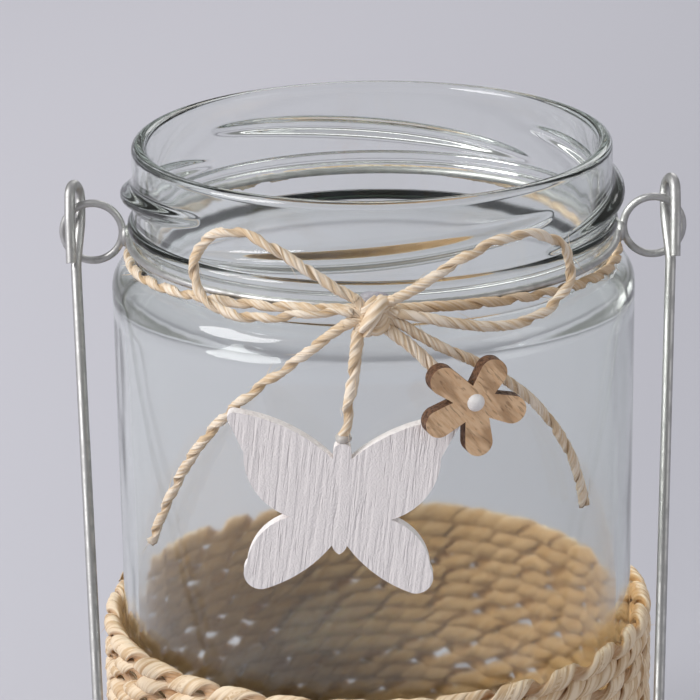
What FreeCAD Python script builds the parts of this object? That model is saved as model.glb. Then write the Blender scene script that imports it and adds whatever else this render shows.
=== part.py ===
"""Mason jar lantern: a glass jar with a wire bail, a rope wrap and a twine bow with two wooden pendants.

Millimetres. +Z is up, +X is to the right, the bow faces -Y, and the origin is the middle of the jar's foot.
"""
import FreeCAD
import Part
import Sketcher

import math
import os

Vector = FreeCAD.Vector
Rotation = FreeCAD.Rotation
Placement = FreeCAD.Placement
X_AXIS = Vector(1, 0, 0)
Y_AXIS = Vector(0, 1, 0)
Z_AXIS = Vector(0, 0, 1)
QUARTER_TURN = 90
FULL_TURN = 360
NEAR_ZERO = 1e-7
VOLUME_TOLERANCE = 0.01
# Numbers that a sketch gives to the two ends of an edge
EDGE_ENDS = (1, 2)

# Driving sizes: name, value, meaning
SIZES = [
    ("jar_height", 140.0, "foot to rim"),
    ("body_radius", 44.2, "outside of the body at the shoulder"),
    ("body_draft", 0.7, "how much narrower the body is at the foot"),
    ("glass_wall", 2.6, "wall of body and neck"),
    ("base_thickness", 5.0, "floor above the table"),
    ("punt_depth", 2.5, "hollow under the base"),
    ("foot_width", 7.0, "width of the ring that the jar stands on"),
    ("heel_radius", 5.0, "rounding from foot to body"),
    ("inner_heel_radius", 4.0, "rounding from floor to inner wall"),
    ("shoulder_drop", 24.8, "rim to the top of the straight body"),
    ("shoulder_radius", 4.8, "rounding of the shoulder"),
    ("shoulder_step", 3.9, "body radius less neck radius"),
    ("lip_round", 1.1, "rounding of both lip edges"),
    ("bead_drop", 14.0, "rim to the middle of the bead"),
    ("bead_height", 1.0, "how far the bead stands out of the neck"),
    ("bead_half_width", 1.2, "half the height of the bead along the neck"),
    ("lug_drop", 8.8, "rim to the middle of a thread lug"),
    ("lug_height", 2.1, "how far a lug stands out of the neck"),
    ("lug_radius", 1.35, "rounding of a lug's section"),
    ("lug_span", 82.0, "degrees of the neck that one lug covers"),
    ("lug_rise", 5.9, "climb of a lug along its span"),
    ("ear_wire", 1.3, "thickness of the neck wire"),
    ("wire_drop", 16.6, "rim to the neck wire"),
    ("wire_gap", 0.1, "neck wire to neck"),
    ("ear_gap", 1.3, "ring ear to neck"),
    ("ear_radius", 5.0, "middle of the wire in the ring ear"),
    ("ear_lift", 0.8, "ring ear's middle above the neck wire"),
    ("twist_radius", 1.2, "middle of the wire in the twist at the ear's foot"),
    ("twist_gap", 0.8, "twist to neck"),
    ("bail_wire", 1.8, "thickness of the bail"),
    ("bail_reach", 114.0, "pivot to the middle of the bail's grip"),
    ("bail_inset", 5.0, "how much each leg closes in along the reach"),
    ("bail_corner", 30.0, "bend between leg and grip"),
    ("pivot_angle", 55.0, "degrees up the ring ear where the bail's eye hangs"),
    ("eye_pitch", 4.8, "one strand of the eye to the other"),
    ("eye_turn", 17.0, "degrees that the eye is turned about its leg"),
    ("eye_rise", 1.6, "pivot to the middle of the eye's round end"),
    ("eye_drop", 2.0, "pivot to where both strands turn in"),
    ("eye_tail", 9.5, "pivot to the tip of the bent-over end"),
    ("eye_gap", 0.25, "tip of the bent-over end to its own leg"),
    ("eye_bend", 8.0, "bends of both strands below the pivot"),
    ("leg_offset", 0.4, "leg behind the middle of the eye"),
    ("rest_gap", 0.3, "bail to the rope that it leans on"),
    ("rope_diameter", 2.5, "rope of the wrap"),
    ("rope_pitch", 2.95, "climb of one turn of rope"),
    ("rope_gap", 0.5, "rope to the widest part of the body"),
    ("rope_start", 5.25, "height of the rope's lower end"),
    ("twine_diameter", 1.6, "twine of bow, neck and pendants"),
    ("twine_gap", 0.3, "neck twine to neck wire"),
    ("twine_neck_gap", 0.1, "neck twine to neck below the ears"),
    ("twine_dip", 2.8, "how far the neck twine drops to pass under the ears"),
    ("knot_offset", 2.45, "neck twine's front to the middle of the knot"),
    ("knot_width", 2.3, "half width of the knot"),
    ("knot_depth", 1.9, "half depth of the knot"),
    ("knot_height", 2.6, "half height of the knot"),
    ("glue_width", 2.4, "half width of the glue dab on the knot"),
    ("glue_depth", 0.9, "half thickness of the glue dab on the knot"),
    ("glue_gap", 0.5, "glue dab to knot"),
    ("pendant_gap", 0.6, "butterfly to the widest part of the glass"),
    ("butterfly_span", 36.6, "tip to tip"),
    ("butterfly_thickness", 2.5, "wood of the butterfly"),
    ("butterfly_lean", 2.5, "degrees that its lower end leans to the left"),
    ("butterfly_side", 5.2, "top of its head left of the jar's middle"),
    ("butterfly_drop", 21.1, "neck wire to the top of its head"),
    ("string_gap", 0.3, "end of a string to its pendant"),
    ("butterfly_string_side", 2.5, "top of the butterfly's string left of the jar's middle"),
    ("butterfly_string_drop", 2.6, "neck wire to the top of the butterfly's string"),
    ("butterfly_string_out", 0.05, "top of the butterfly's string ahead of the knot's middle"),
    ("glue_ring", 0.3, "half thickness of the ring of glue on the butterfly's head"),
    ("glue_ring_gap", 0.35, "ring of glue to the string inside it"),
    ("flower_gap", 0.6, "flower to the butterfly's wing behind it"),
    ("flower_turn", 18.0, "degrees that the flower faces to the right"),
    ("flower_thickness", 2.5, "wood of the flower"),
    ("flower_side", 15.2, "middle of the flower right of the jar's middle"),
    ("flower_drop", 13.6, "neck wire to the middle of the flower"),
    ("flower_string_side", 2.2, "top of the flower's string right of the jar's middle"),
    ("flower_string_drop", 2.2, "neck wire to the top of the flower's string"),
    ("flower_string_out", 0.45, "top of the flower's string ahead of the knot's middle"),
    ("seat_side", 4.6, "glued end of the string left of the flower's middle"),
    ("seat_rise", 4.0, "glued end of the string above the flower's middle"),
    ("petal_length", 9.0, "middle of the flower to a petal's tip"),
    ("petal_tip", 2.3, "rounding of a petal's tip"),
    ("petal_root", 1.75, "half width of a petal at the middle of the flower"),
    ("dot_radius", 1.45, "white dot on the flower"),
    ("dot_height", 0.7, "how far the dot stands out"),
    ("flower_glue_radius", 1.6, "pad of glue behind the flower"),
    ("flower_glue_height", 0.9, "thickness of the pad of glue behind the flower"),
    ("cup_radius", 19.0, "outside of the tea light's cup"),
    ("cup_height", 16.0, "tea light's cup"),
    ("cup_wall", 0.4, "sheet of the tea light's cup"),
    ("wax_gap", 0.15, "wax to cup"),
    ("wax_height", 12.5, "wax above the cup's floor"),
    ("wick_radius", 0.7, "wick"),
    ("wick_height", 17.0, "wick above the cup's floor"),
    ("wick_gap", 0.1, "wick to what it stands in"),
    ("wick_base_radius", 6.0, "metal foot of the wick"),
    ("wick_base_sheet", 0.5, "sheet of the wick's foot"),
    ("wick_base_collar", 3.0, "height of the wick foot's collar"),
    ("wick_base_wall", 0.5, "wall of the wick foot's collar"),
]

LUG_COUNT = 4
ROPE_TURNS = 18
ROPE_END_ANGLE = 170
ROPE_SAMPLES_PER_TURN = 36
TWINE_STEPS = 16
# Share of the shorter run beside a corner that the bend of a cord takes up
BEND_SHARE = 0.45

# Butterfly, right half, in hundredths of its span from the top of the head: corner, then the point that the
# edge to the next corner curves through, or None for a straight edge.
BUTTERFLY_HALF = [
    ((0.0, -51.2), (2.0, -49.6)),
    ((3.3, -47.0), (17.0, -60.5)),
    ((32.6, -68.4), (40.3, -65.2)),
    ((40.2, -56.5), (35.2, -43.5)),
    ((22.0, -34.3), (35.6, -25.4)),
    ((43.0, -5.2), None),
    ((49.9, 8.8), (50.0, 12.0)),
    ((47.6, 13.1), (24.0, 6.6)),
    ((4.1, -6.9), None),
    ((3.8, -3.2), (2.6, -0.7)),
]

# Flower: direction of each petal as seen from the front, and its share of the full length
PETALS = [(142, 1.0), (57, 0.86), (-17, 0.97), (-86, 1.0), (-155, 1.0)]

# Cord routes from the knot outwards: across, out of the body's surface, and above the neck wire
BOW_LOOP_LEFT = [
    (-2.7, 2.28, 2.6), (-6.8, 2.3, 5), (-11.5, 2.44, 8), (-16.3, 2.44, 11), (-20.9, 2.36, 12.7),
    (-25, 2.38, 12), (-27.8, 2.4, 8.9), (-28.9, 2.36, 5), (-28.1, 2.42, 1.5), (-25.2, 2.4, -0.8),
    (-20.5, 2.54, -1.6), (-14.8, 2.6, -0.7), (-8.9, 2.55, 0.5), (-3.2, 2.41, 0.7),
]
BOW_LOOP_RIGHT = [
    (2.7, 2.28, 2.4), (6.2, 2.41, 3.9), (10.5, 2.5, 6.7), (15.3, 2.57, 9.4), (20.8, 2.49, 11.3),
    (26, 2.59, 11.1), (29.8, 2.61, 8.8), (31.8, 2.57, 5), (31.4, 2.52, 1.2), (28.7, 2.55, -1.9),
    (24.1, 2.5, -3.5), (18.2, 2.49, -3.3), (12, 2.57, -1.7), (6.6, 2.47, -0.2), (3.2, 2.41, 0.4),
]
BOW_TAIL_LEFT = [
    (-4.6, 2.03, -1.6), (-8, 2.1, -4.1), (-12.2, 2.23, -7.8), (-16.6, 2.27, -11.3),
    (-21.4, 2.32, -15.6), (-26.1, 2.31, -21.1), (-30.4, 2.23, -27.8), (-33.5, 2.2, -34.6),
    (-35.8, 2.19, -40.5), (-37.2, 2.12, -44.5),
]
BOW_TAIL_RIGHT = [
    (4.7, 2.04, -1.7), (7.1, 2.15, -3.6), (10.6, 2.13, -5.8), (15.2, 2.16, -8.2), (20.7, 2.18, -12.2),
    (26.4, 2.23, -18), (30.9, 2.26, -25.6), (33.4, 2.12, -32.8), (34.2, 2.09, -37.8),
]

doc = FreeCAD.newDocument("MasonJarLantern")
sheet = doc.addObject("Spreadsheet::Sheet", "Sizes")
for row, (alias, number, meaning) in enumerate(SIZES, start=1):
    sheet.set(f"A{row}", meaning)
    sheet.set(f"B{row}", str(number))
    sheet.setAlias(f"B{row}", alias)
doc.recompute()

# Radii and heights that several pieces share
NECK = "(Sizes.body_radius - Sizes.shoulder_step)"
NECK_BORE = f"({NECK} - Sizes.glass_wall)"
FOOT = "(Sizes.body_radius - Sizes.body_draft)"
SHOULDER_Z = "(Sizes.jar_height - Sizes.shoulder_drop)"
SHOULDER_RISE = "sqrt(2 * Sizes.shoulder_radius * Sizes.shoulder_step - Sizes.shoulder_step^2)"
LUG_RING = f"({NECK} + Sizes.lug_height - Sizes.lug_radius)"
BEAD_Z = "(Sizes.jar_height - Sizes.bead_drop)"
WIRE_Z = "(Sizes.jar_height - Sizes.wire_drop)"
WIRE_RING = f"({NECK} + Sizes.wire_gap + Sizes.ear_wire / 2)"
EAR_FOOT = f"({NECK} + Sizes.ear_gap + Sizes.ear_wire / 2)"
TWIST_X = f"({NECK} + Sizes.twist_gap + Sizes.ear_wire / 2)"
EAR_X = f"({EAR_FOOT} + Sizes.ear_radius)"
EAR_Z = f"({WIRE_Z} + Sizes.ear_lift)"
ROPE_RING = "(Sizes.body_radius + Sizes.rope_gap + Sizes.rope_diameter / 2)"
TWINE_RING = f"({WIRE_RING} + (Sizes.ear_wire + Sizes.twine_diameter) / 2 + Sizes.twine_gap)"
KNOT_Y = f"-({TWINE_RING} + Sizes.twine_diameter / 2 + Sizes.knot_offset)"
PENDANT_BACK = "(Sizes.body_radius + Sizes.pendant_gap)"
CUP_FLOOR = "(Sizes.base_thickness + Sizes.cup_wall)"


def value(text):
    """Number that an expression gives."""
    return float(sheet.evalExpression(text))


def point_at(x, y, z):
    """Point whose coordinates are given by expressions."""
    return Vector(value(x), value(y), value(z))


def bind(piece, **sizes):
    """Tie properties of a piece to expressions."""
    for name, text in sizes.items():
        piece.setExpression(name, text)


def lift(piece, text):
    """Tie the height of a piece to an expression."""
    piece.setExpression("Placement.Base.z", text)


def add(kind, name, **sizes):
    """New object of the document with its sizes tied to the sheet."""
    piece = doc.addObject(kind, name)
    piece.Label = name
    bind(piece, **sizes)
    return piece


def fuse(name, shapes):
    """One solid from several that run into each other."""
    piece = doc.addObject("Part::MultiFuse", name)
    piece.Label = name
    piece.Refine = False
    piece.Shapes = shapes
    return piece


def solid(name, shape):
    """Piece whose shape follows a route."""
    piece = doc.addObject("Part::Feature", name)
    piece.Label = name
    piece.Shape = shape
    return piece


def bulge(start, end, radius, side):
    """Arc of less than half a circle; side 1 bulges to the right of the way from start to end."""
    way = end - start
    sag = radius - math.sqrt(max(radius**2 - way.Length**2 / 4, 0))
    out = Vector(way.y, -way.x, 0).normalize() * side * sag
    return Part.Arc(start, (start + end) / 2 + out, end)


def sketch_outline(body, name, corners):
    """Closed sketch on the body's XZ plane; a corner is x, z and, before a round edge, radius and side."""
    plane = next(item for item in body.Origin.OriginFeatures if item.Role == "XZ_Plane")
    sketch = body.newObject("Sketcher::SketchObject", name)
    sketch.AttachmentSupport = (plane, [""])
    sketch.MapMode = "FlatFace"
    spots = [Vector(value(x), value(z), 0) for x, z, *_ in corners]
    ends = []
    for (_, _, *arc), start, end in zip(corners, spots, spots[1:] + spots[:1]):
        edge = Part.LineSegment(start, end)
        if arc:
            radius, side = arc
            edge = bulge(start, end, value(radius), side)
        number = sketch.addGeometry(edge, False)
        away = [(sketch.getPoint(number, end_number) - start).Length for end_number in EDGE_ENDS]
        ends.append(EDGE_ENDS if away[0] < away[1] else EDGE_ENDS[::-1])
    for index, (_, last) in enumerate(ends):
        after = (index + 1) % len(ends)
        sketch.addConstraint(Sketcher.Constraint("Coincident", index, last, after, ends[after][0]))
    for index, (x, z, *arc) in enumerate(corners):
        pin_corner(sketch, index, ends[index][0], "DistanceX", x, -2)
        pin_corner(sketch, index, ends[index][0], "DistanceY", z, -1)
        if arc:
            number = sketch.addConstraint(Sketcher.Constraint("Radius", index, value(arc[0])))
            sketch.setExpression(f"Constraints[{number}]", arc[0])
    return sketch


def pin_corner(sketch, index, end, kind, text, axis):
    """Hold one coordinate of a corner at an expression, or on the axis where it is zero."""
    number = value(text)
    if abs(number) < NEAR_ZERO:
        sketch.addConstraint(Sketcher.Constraint("PointOnObject", index, end, axis))
        return
    if number > 0:
        place = sketch.addConstraint(Sketcher.Constraint(kind, -1, 1, index, end, number))
        sketch.setExpression(f"Constraints[{place}]", text)
    else:
        place = sketch.addConstraint(Sketcher.Constraint(kind, index, end, -1, 1, -number))
        sketch.setExpression(f"Constraints[{place}]", f"-({text})")


def turned(name, corners):
    """Body turned about its Z axis."""
    body = doc.addObject("PartDesign::Body", name)
    body.Label = name
    sketch = sketch_outline(body, f"{name}_profile", corners)
    turn = body.newObject("PartDesign::Revolution", f"{name}_turn")
    turn.Profile = sketch
    turn.ReferenceAxis = (sketch, ["V_Axis"])
    turn.Angle = FULL_TURN
    body.Tip = turn
    return body


def pad(body, sketch, thickness):
    """Flat board towards -Y from a sketch."""
    board = body.newObject("PartDesign::Pad", f"{sketch.Name}_board")
    board.Profile = sketch
    board.setExpression("Length", thickness)
    body.Tip = board
    return board


def round_end(start, tangent, end):
    """Arc that leaves start along tangent and reaches end."""
    way = end - start
    along = Vector(way).normalize()
    aside = tangent - along * tangent.dot(along)
    if aside.Length < NEAR_ZERO:
        return Part.LineSegment(start, end).toShape()
    half_turn = tangent.getAngle(way)
    middle = start + way / 2 + aside.normalize() * (way.Length / 2 * math.tan(half_turn / 2))
    return Part.Arc(start, middle, end).toShape()


def biarc(start, tangent, end, end_tangent):
    """Two arcs that join two points smoothly."""
    way = end - start
    both = tangent + end_tangent
    square = 2 * (1 - tangent.dot(end_tangent))
    line = 2 * way.dot(both)
    flat = way.dot(way)
    reach = flat / line
    if abs(square) > NEAR_ZERO:
        reach = (math.sqrt(line**2 + 4 * square * flat) - line) / (2 * square)
    middle = (start + end + (tangent - end_tangent) * reach) / 2
    return [round_end(start, tangent, middle), round_end(end, end_tangent * -1, middle)]


def bent_route(points, radii):
    """Wire of straight runs joined by tangent arcs."""
    edges = []
    last = points[0]
    for before, corner, after, radius in zip(points, points[1:], points[2:], radii):
        back = (before - corner).normalize()
        on = (after - corner).normalize()
        half = back.getAngle(on) / 2
        cut = radius / math.tan(half)
        middle = corner + (back + on).normalize() * (radius / math.sin(half) - radius)
        if (corner + back * cut - last).Length > NEAR_ZERO:
            edges.append(Part.LineSegment(last, corner + back * cut).toShape())
        edges.append(Part.Arc(corner + back * cut, middle, corner + on * cut).toShape())
        last = corner + on * cut
    edges.append(Part.LineSegment(last, points[-1]).toShape())
    return Part.Wire(edges)


def tube(route, thickness):
    """Round rod along a wire, checked against section times length."""
    first = route.OrderedEdges[0]
    start = route.OrderedVertexes[0].Point
    at_start = (first.valueAt(first.FirstParameter) - start).Length < NEAR_ZERO
    tangent = first.tangentAt(first.FirstParameter if at_start else first.LastParameter)
    section = Part.Wire([Part.makeCircle(thickness / 2, start, tangent)])
    rod = route.makePipeShell([section], True, False)
    expected = math.pi * thickness**2 / 4 * route.Length
    if abs(rod.Volume / expected - 1) > VOLUME_TOLERANCE:
        raise ValueError(f"rod volume {rod.Volume:.2f}, expected {expected:.2f}")
    return rod


def cord_radii(name, points, thickness):
    """Each corner's radius, as large as its runs allow."""
    radii = []
    for before, corner, after in zip(points, points[1:], points[2:]):
        turn = math.pi - (before - corner).getAngle(after - corner)
        shorter = min((before - corner).Length, (after - corner).Length)
        radii.append(BEND_SHARE * shorter / math.tan(turn / 2))
    least = min(radii)
    print(f"{name}: radii {least:.1f} to {max(radii):.1f} mm, {least / thickness:.1f} diameters at least")
    return radii


def cord(name, route):
    """Limp twine along a route of points."""
    body = value("Sizes.body_radius")
    wire = value(WIRE_Z)
    points = [Vector(across, -math.sqrt((body + out)**2 - across**2), wire + up) for across, out, up in route]
    thickness = value("Sizes.twine_diameter")
    path = bent_route(points, cord_radii(name, points, thickness))
    print(f"{name}: {path.Length:.1f} mm long")
    return solid(name, tube(path, thickness))


def pointing(start, end):
    """Placement of an upright piece that runs from start towards end."""
    return Placement(start, Rotation(Z_AXIS, end - start))


def glass_jar():
    """Blown jar: a turned blank with four thread lugs."""
    bead_radius = "((Sizes.bead_half_width^2 + Sizes.bead_height^2) / (2 * Sizes.bead_height))"
    rim = "Sizes.jar_height"
    inner_foot = f"({FOOT} - Sizes.glass_wall)"
    blank = turned("jar_blank", [
        ("0", "Sizes.punt_depth"),
        (f"{FOOT} - Sizes.heel_radius - Sizes.foot_width", "0"),
        (f"{FOOT} - Sizes.heel_radius", "0", "Sizes.heel_radius", 1),
        (FOOT, "Sizes.heel_radius"),
        ("Sizes.body_radius", SHOULDER_Z, "Sizes.shoulder_radius", 1),
        (NECK, f"{SHOULDER_Z} + {SHOULDER_RISE}"),
        (NECK, f"{BEAD_Z} - Sizes.bead_half_width", bead_radius, 1),
        (NECK, f"{BEAD_Z} + Sizes.bead_half_width"),
        (NECK, f"{rim} - Sizes.lip_round", "Sizes.lip_round", 1),
        (f"{NECK} - Sizes.lip_round", rim),
        (f"{NECK_BORE} + Sizes.lip_round", rim, "Sizes.lip_round", 1),
        (NECK_BORE, f"{rim} - Sizes.lip_round"),
        (NECK_BORE, f"{SHOULDER_Z} + {SHOULDER_RISE} - Sizes.glass_wall",
         "Sizes.shoulder_radius + Sizes.glass_wall / 2", -1),
        ("Sizes.body_radius - Sizes.glass_wall", f"{SHOULDER_Z} - Sizes.glass_wall"),
        (inner_foot, "Sizes.base_thickness + Sizes.inner_heel_radius", "Sizes.inner_heel_radius", -1),
        (f"{inner_foot} - Sizes.inner_heel_radius", "Sizes.base_thickness"),
        ("0", "Sizes.base_thickness"),
    ])
    ring = value(LUG_RING)
    span = value("Sizes.lug_span")
    chord = 2 * ring * math.sin(math.radians(span / 2))
    tilt = math.degrees(math.asin(value("Sizes.lug_rise") / chord))
    middle = Vector(0, 0, value("Sizes.jar_height - Sizes.lug_drop"))
    parts = [blank]
    for number in range(1, LUG_COUNT + 1):
        facing = Rotation(Z_AXIS, FULL_TURN / LUG_COUNT * number)
        stance = facing * Rotation(X_AXIS, tilt) * Rotation(Z_AXIS, -span / 2)
        ridge = add("Part::Torus", f"ridge_{number}", Radius1=LUG_RING, Radius2="Sizes.lug_radius",
                    Angle3="Sizes.lug_span")
        ridge.Placement = Placement(middle, stance)
        lug = [ridge]
        for end in (0, span):
            tip = add("Part::Sphere", f"lug_{number}_tip_{len(lug)}", Radius="Sizes.lug_radius")
            tip.Placement = Placement(middle + stance * (Rotation(Z_AXIS, end) * Vector(ring, 0, 0)), stance)
            lug.append(tip)
        parts.append(fuse(f"lug_{number}", lug))
    return fuse("glass_jar", parts)


def neck_wire():
    """Wire round the neck with a ring ear and a twist at each side."""
    loop = add("Part::Torus", "neck_loop", Radius1=WIRE_RING, Radius2="Sizes.ear_wire / 2")
    lift(loop, WIRE_Z)
    parts = [loop]
    for side, name in ((-1, "left"), (1, "right")):
        ear = add("Part::Torus", f"ear_{name}", Radius1="Sizes.ear_radius", Radius2="Sizes.ear_wire / 2")
        ear.Placement.Rotation = Rotation(X_AXIS, QUARTER_TURN)
        bind(ear, **{"Placement.Base.x": f"{side} * {EAR_X}"})
        lift(ear, EAR_Z)
        twist = add("Part::Torus", f"twist_{name}", Radius1="Sizes.twist_radius",
                    Radius2="Sizes.ear_wire / 2")
        twist.Placement.Rotation = Rotation(Y_AXIS, QUARTER_TURN)
        bind(twist, **{"Placement.Base.x": f"{side} * {TWIST_X}"})
        lift(twist, WIRE_Z)
        parts += [ear, twist]
    return fuse("neck_wire", parts)


def bail_handle():
    """One bent wire: eye, leg, grip, leg, eye, leaning on the front of the rope."""
    pivot_angle = math.radians(value("Sizes.pivot_angle"))
    pivot_x = value(EAR_X) + value("Sizes.ear_radius") * math.cos(pivot_angle)
    pivot_z = value(EAR_Z) + value("Sizes.ear_radius") * math.sin(pivot_angle)
    reach = value("Sizes.bail_reach")
    half = value("Sizes.eye_pitch / 2")
    turn = math.radians(value("Sizes.eye_turn"))
    leg = -value("Sizes.leg_offset")
    behind = -leg * math.cos(turn)
    wire = value("Sizes.bail_wire")
    front = value(f"{ROPE_RING} + (Sizes.rope_diameter + Sizes.bail_wire) / 2 + Sizes.rest_gap")
    lean = math.asin(front / math.hypot(reach, behind)) + math.atan2(behind, reach)
    print(f"bail: pivot x {pivot_x:.3f}, z {pivot_z:.3f}, lean {math.degrees(lean):.2f} degrees")

    def spot(side, across, down, inset=0.0):
        """Point of the wire: across the eye and down the leg from the pivot."""
        ahead = across * math.cos(turn)
        x = side * (pivot_x + across * math.sin(turn) - inset)
        y = -down * math.sin(lean) - ahead * math.cos(lean)
        return Vector(x, y, pivot_z - down * math.cos(lean) + ahead * math.sin(lean))

    def eye(side):
        """Bent-over end, from its tip round the eye to the top of the leg."""
        top = -value("Sizes.eye_rise") - half
        drop = value("Sizes.eye_drop")
        tail = value("Sizes.eye_tail")
        tip = leg + wire + value("Sizes.eye_gap")
        return [spot(side, tip, tail), spot(side, half, drop), spot(side, half, top),
                spot(side, -half, top), spot(side, -half, drop), spot(side, leg, tail)]

    inset = value("Sizes.bail_inset")
    grip = [spot(-1, leg, reach, inset), spot(1, leg, reach, inset)]
    points = eye(-1) + grip + list(reversed(eye(1)))
    corner = value("Sizes.bail_corner")
    bend = value("Sizes.eye_bend")
    eye_bends = [bend, half, half, bend, bend]
    radii = eye_bends + [corner, corner] + list(reversed(eye_bends))
    return solid("bail_handle", tube(bent_route(points, radii), wire))


def rope_wrap():
    """Rope wound round the body as one unbroken tube, its ends straight for one diameter."""
    ring = value(ROPE_RING)
    pitch = value("Sizes.rope_pitch")
    thickness = value("Sizes.rope_diameter")
    low = value("Sizes.rope_start")

    def spot(turns):
        """Point on the winding and the direction of the rope there."""
        angle = math.radians(ROPE_END_ANGLE) + 2 * math.pi * (turns - ROPE_TURNS)
        climb = pitch / (2 * math.pi * ring)
        tangent = Vector(-math.sin(angle), math.cos(angle), climb).normalize()
        return Vector(ring * math.cos(angle), ring * math.sin(angle), low + pitch * turns), tangent

    stations = [spot(half / 2) for half in range(2 * ROPE_TURNS + 1)]
    first, first_way = stations[0]
    last, last_way = stations[-1]
    edges = [Part.LineSegment(first - first_way * thickness, first).toShape()]
    for (start, tangent), (end, end_tangent) in zip(stations, stations[1:]):
        edges += biarc(start, tangent, end, end_tangent)
    edges.append(Part.LineSegment(last, last + last_way * thickness).toShape())
    per_turn = ROPE_SAMPLES_PER_TURN
    samples = [spot(step / per_turn)[0] for step in range(ROPE_TURNS * per_turn + 1)]
    spacing = min((a - b).Length for i, a in enumerate(samples) for b in samples[i + per_turn // 2:])
    print(f"rope_wrap: least gap to itself {spacing - thickness:.2f} mm")
    return solid("rope_wrap", tube(Part.Wire(edges), thickness))


def neck_twine():
    """Twine round the neck, over the wire at front and back and under the ears at the sides."""
    inner = value(f"{NECK} + Sizes.twine_neck_gap + Sizes.twine_diameter / 2")
    spread = value(TWINE_RING) - inner
    high = value(WIRE_Z)
    dip = value("Sizes.twine_dip")

    def spot(step):
        """Point on the twine and its direction there."""
        angle = 2 * math.pi * step / TWINE_STEPS
        across, along = math.cos(angle), math.sin(angle)
        ring = inner + spread * along**2
        swell = spread * math.sin(2 * angle)
        climb = dip * math.sin(2 * angle)
        tangent = Vector(swell * across - ring * along, swell * along + ring * across, climb)
        return Vector(ring * across, ring * along, high - dip * across**2), tangent.normalize()

    edges = []
    for step in range(TWINE_STEPS):
        start, tangent = spot(step)
        end, end_tangent = spot((step + 1) % TWINE_STEPS)
        edges += biarc(start, tangent, end, end_tangent)
    return solid("neck_twine", tube(Part.Wire(edges), value("Sizes.twine_diameter")))


def bow_knot():
    """Knot of the bow: a lump with one strand wrapped over it."""
    lump = add("Part::Ellipsoid", "knot_lump", Radius1="Sizes.knot_height", Radius2="Sizes.knot_width",
               Radius3="Sizes.knot_depth")
    strand = add("Part::Torus", "knot_strand", Radius1="Sizes.knot_depth - Sizes.twine_diameter / 4",
                 Radius2="Sizes.twine_diameter / 2")
    strand.Placement.Rotation = Rotation(Y_AXIS, QUARTER_TURN)
    for piece in (lump, strand):
        bind(piece, **{"Placement.Base.y": KNOT_Y})
        lift(piece, WIRE_Z)
    return fuse("bow_knot", [lump, strand])


def glue_dot():
    """Dab of glue on top of the knot."""
    dab = add("Part::Ellipsoid", "glue_dot", Radius1="Sizes.glue_depth", Radius2="Sizes.glue_width",
              Radius3="Sizes.glue_depth")
    bind(dab, **{"Placement.Base.y": f"-({TWINE_RING} + Sizes.twine_diameter / 2)"})
    lift(dab, f"{WIRE_Z} + Sizes.twine_diameter / 2 + Sizes.glue_depth + Sizes.glue_gap")
    return dab


def butterfly():
    """Sawn board in the outline of a butterfly."""
    body = doc.addObject("PartDesign::Body", "butterfly")
    body.Label = "butterfly"
    mirrored = []
    for index in range(len(BUTTERFLY_HALF) - 1, 0, -1):
        (x, z), _ = BUTTERFLY_HALF[index]
        via = BUTTERFLY_HALF[index - 1][1]
        mirrored.append(((-x, z), via and (-via[0], via[1])))
    last_via = BUTTERFLY_HALF[-1][1]
    crown = ((0.0, 0.0), (-last_via[0], last_via[1]))
    steps = BUTTERFLY_HALF + [crown] + mirrored
    corners = []
    for index, ((x, z), via) in enumerate(steps):
        corner = [f"{x / 100:.4f} * Sizes.butterfly_span", f"{z / 100:.4f} * Sizes.butterfly_span"]
        if via:
            ahead = steps[(index + 1) % len(steps)][0]
            start, middle, end = (Vector(*point, 0) for point in ((x, z), via, ahead))
            radius = Part.Arc(start, middle, end).toShape().Curve.Radius
            side = 1 if (end - start).cross(middle - start).z < 0 else -1
            corner += [f"{radius / 100:.6f} * Sizes.butterfly_span", side]
        corners.append(tuple(corner))
    pad(body, sketch_outline(body, "butterfly_outline", corners), "Sizes.butterfly_thickness")
    head = point_at("-Sizes.butterfly_side", f"-{PENDANT_BACK}", f"{WIRE_Z} - Sizes.butterfly_drop")
    body.Placement = Placement(head, Rotation(Y_AXIS, value("Sizes.butterfly_lean")))
    return body


def flower():
    """Sawn board of five rounded petals, turned to face along the glass."""
    body = doc.addObject("PartDesign::Body", "flower")
    body.Label = "flower"
    for number, (angle, share) in enumerate(PETALS, start=1):
        length = f"{share} * Sizes.petal_length"
        sketch = sketch_outline(body, f"petal_{number}", [
            ("0", "-Sizes.petal_root"),
            (f"{length} - Sizes.petal_tip", "-Sizes.petal_tip", "Sizes.petal_tip", 1),
            (length, "0", "Sizes.petal_tip", 1),
            (f"{length} - Sizes.petal_tip", "Sizes.petal_tip"),
            ("0", "Sizes.petal_root"),
        ])
        sketch.AttachmentOffset = Placement(Vector(), Rotation(Z_AXIS, angle))
        pad(body, sketch, "Sizes.flower_thickness")
    wing_tip = "(Sizes.butterfly_span / 2 - Sizes.butterfly_side)"
    front = f"({PENDANT_BACK} + Sizes.butterfly_thickness + Sizes.flower_gap)"
    facing = value("Sizes.flower_turn")
    middle = point_at("Sizes.flower_side", f"-{front}", f"{WIRE_Z} - Sizes.flower_drop")
    middle.y += (middle.x - value(wing_tip)) * math.tan(math.radians(facing))
    body.Placement = Placement(middle, Rotation(Z_AXIS, facing))
    return body


def flower_centre(board):
    """Domed white dot on the front of the flower."""
    dome = "((Sizes.dot_radius^2 + Sizes.dot_height^2) / (2 * Sizes.dot_height))"
    dot = turned("flower_centre", [
        ("0", "0"),
        ("Sizes.dot_radius", "0", dome, 1),
        ("0", "Sizes.dot_height"),
    ])
    front = Placement(Vector(0, -value("Sizes.flower_thickness"), 0), Rotation(X_AXIS, QUARTER_TURN))
    dot.Placement = board.Placement * front
    return dot


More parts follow.
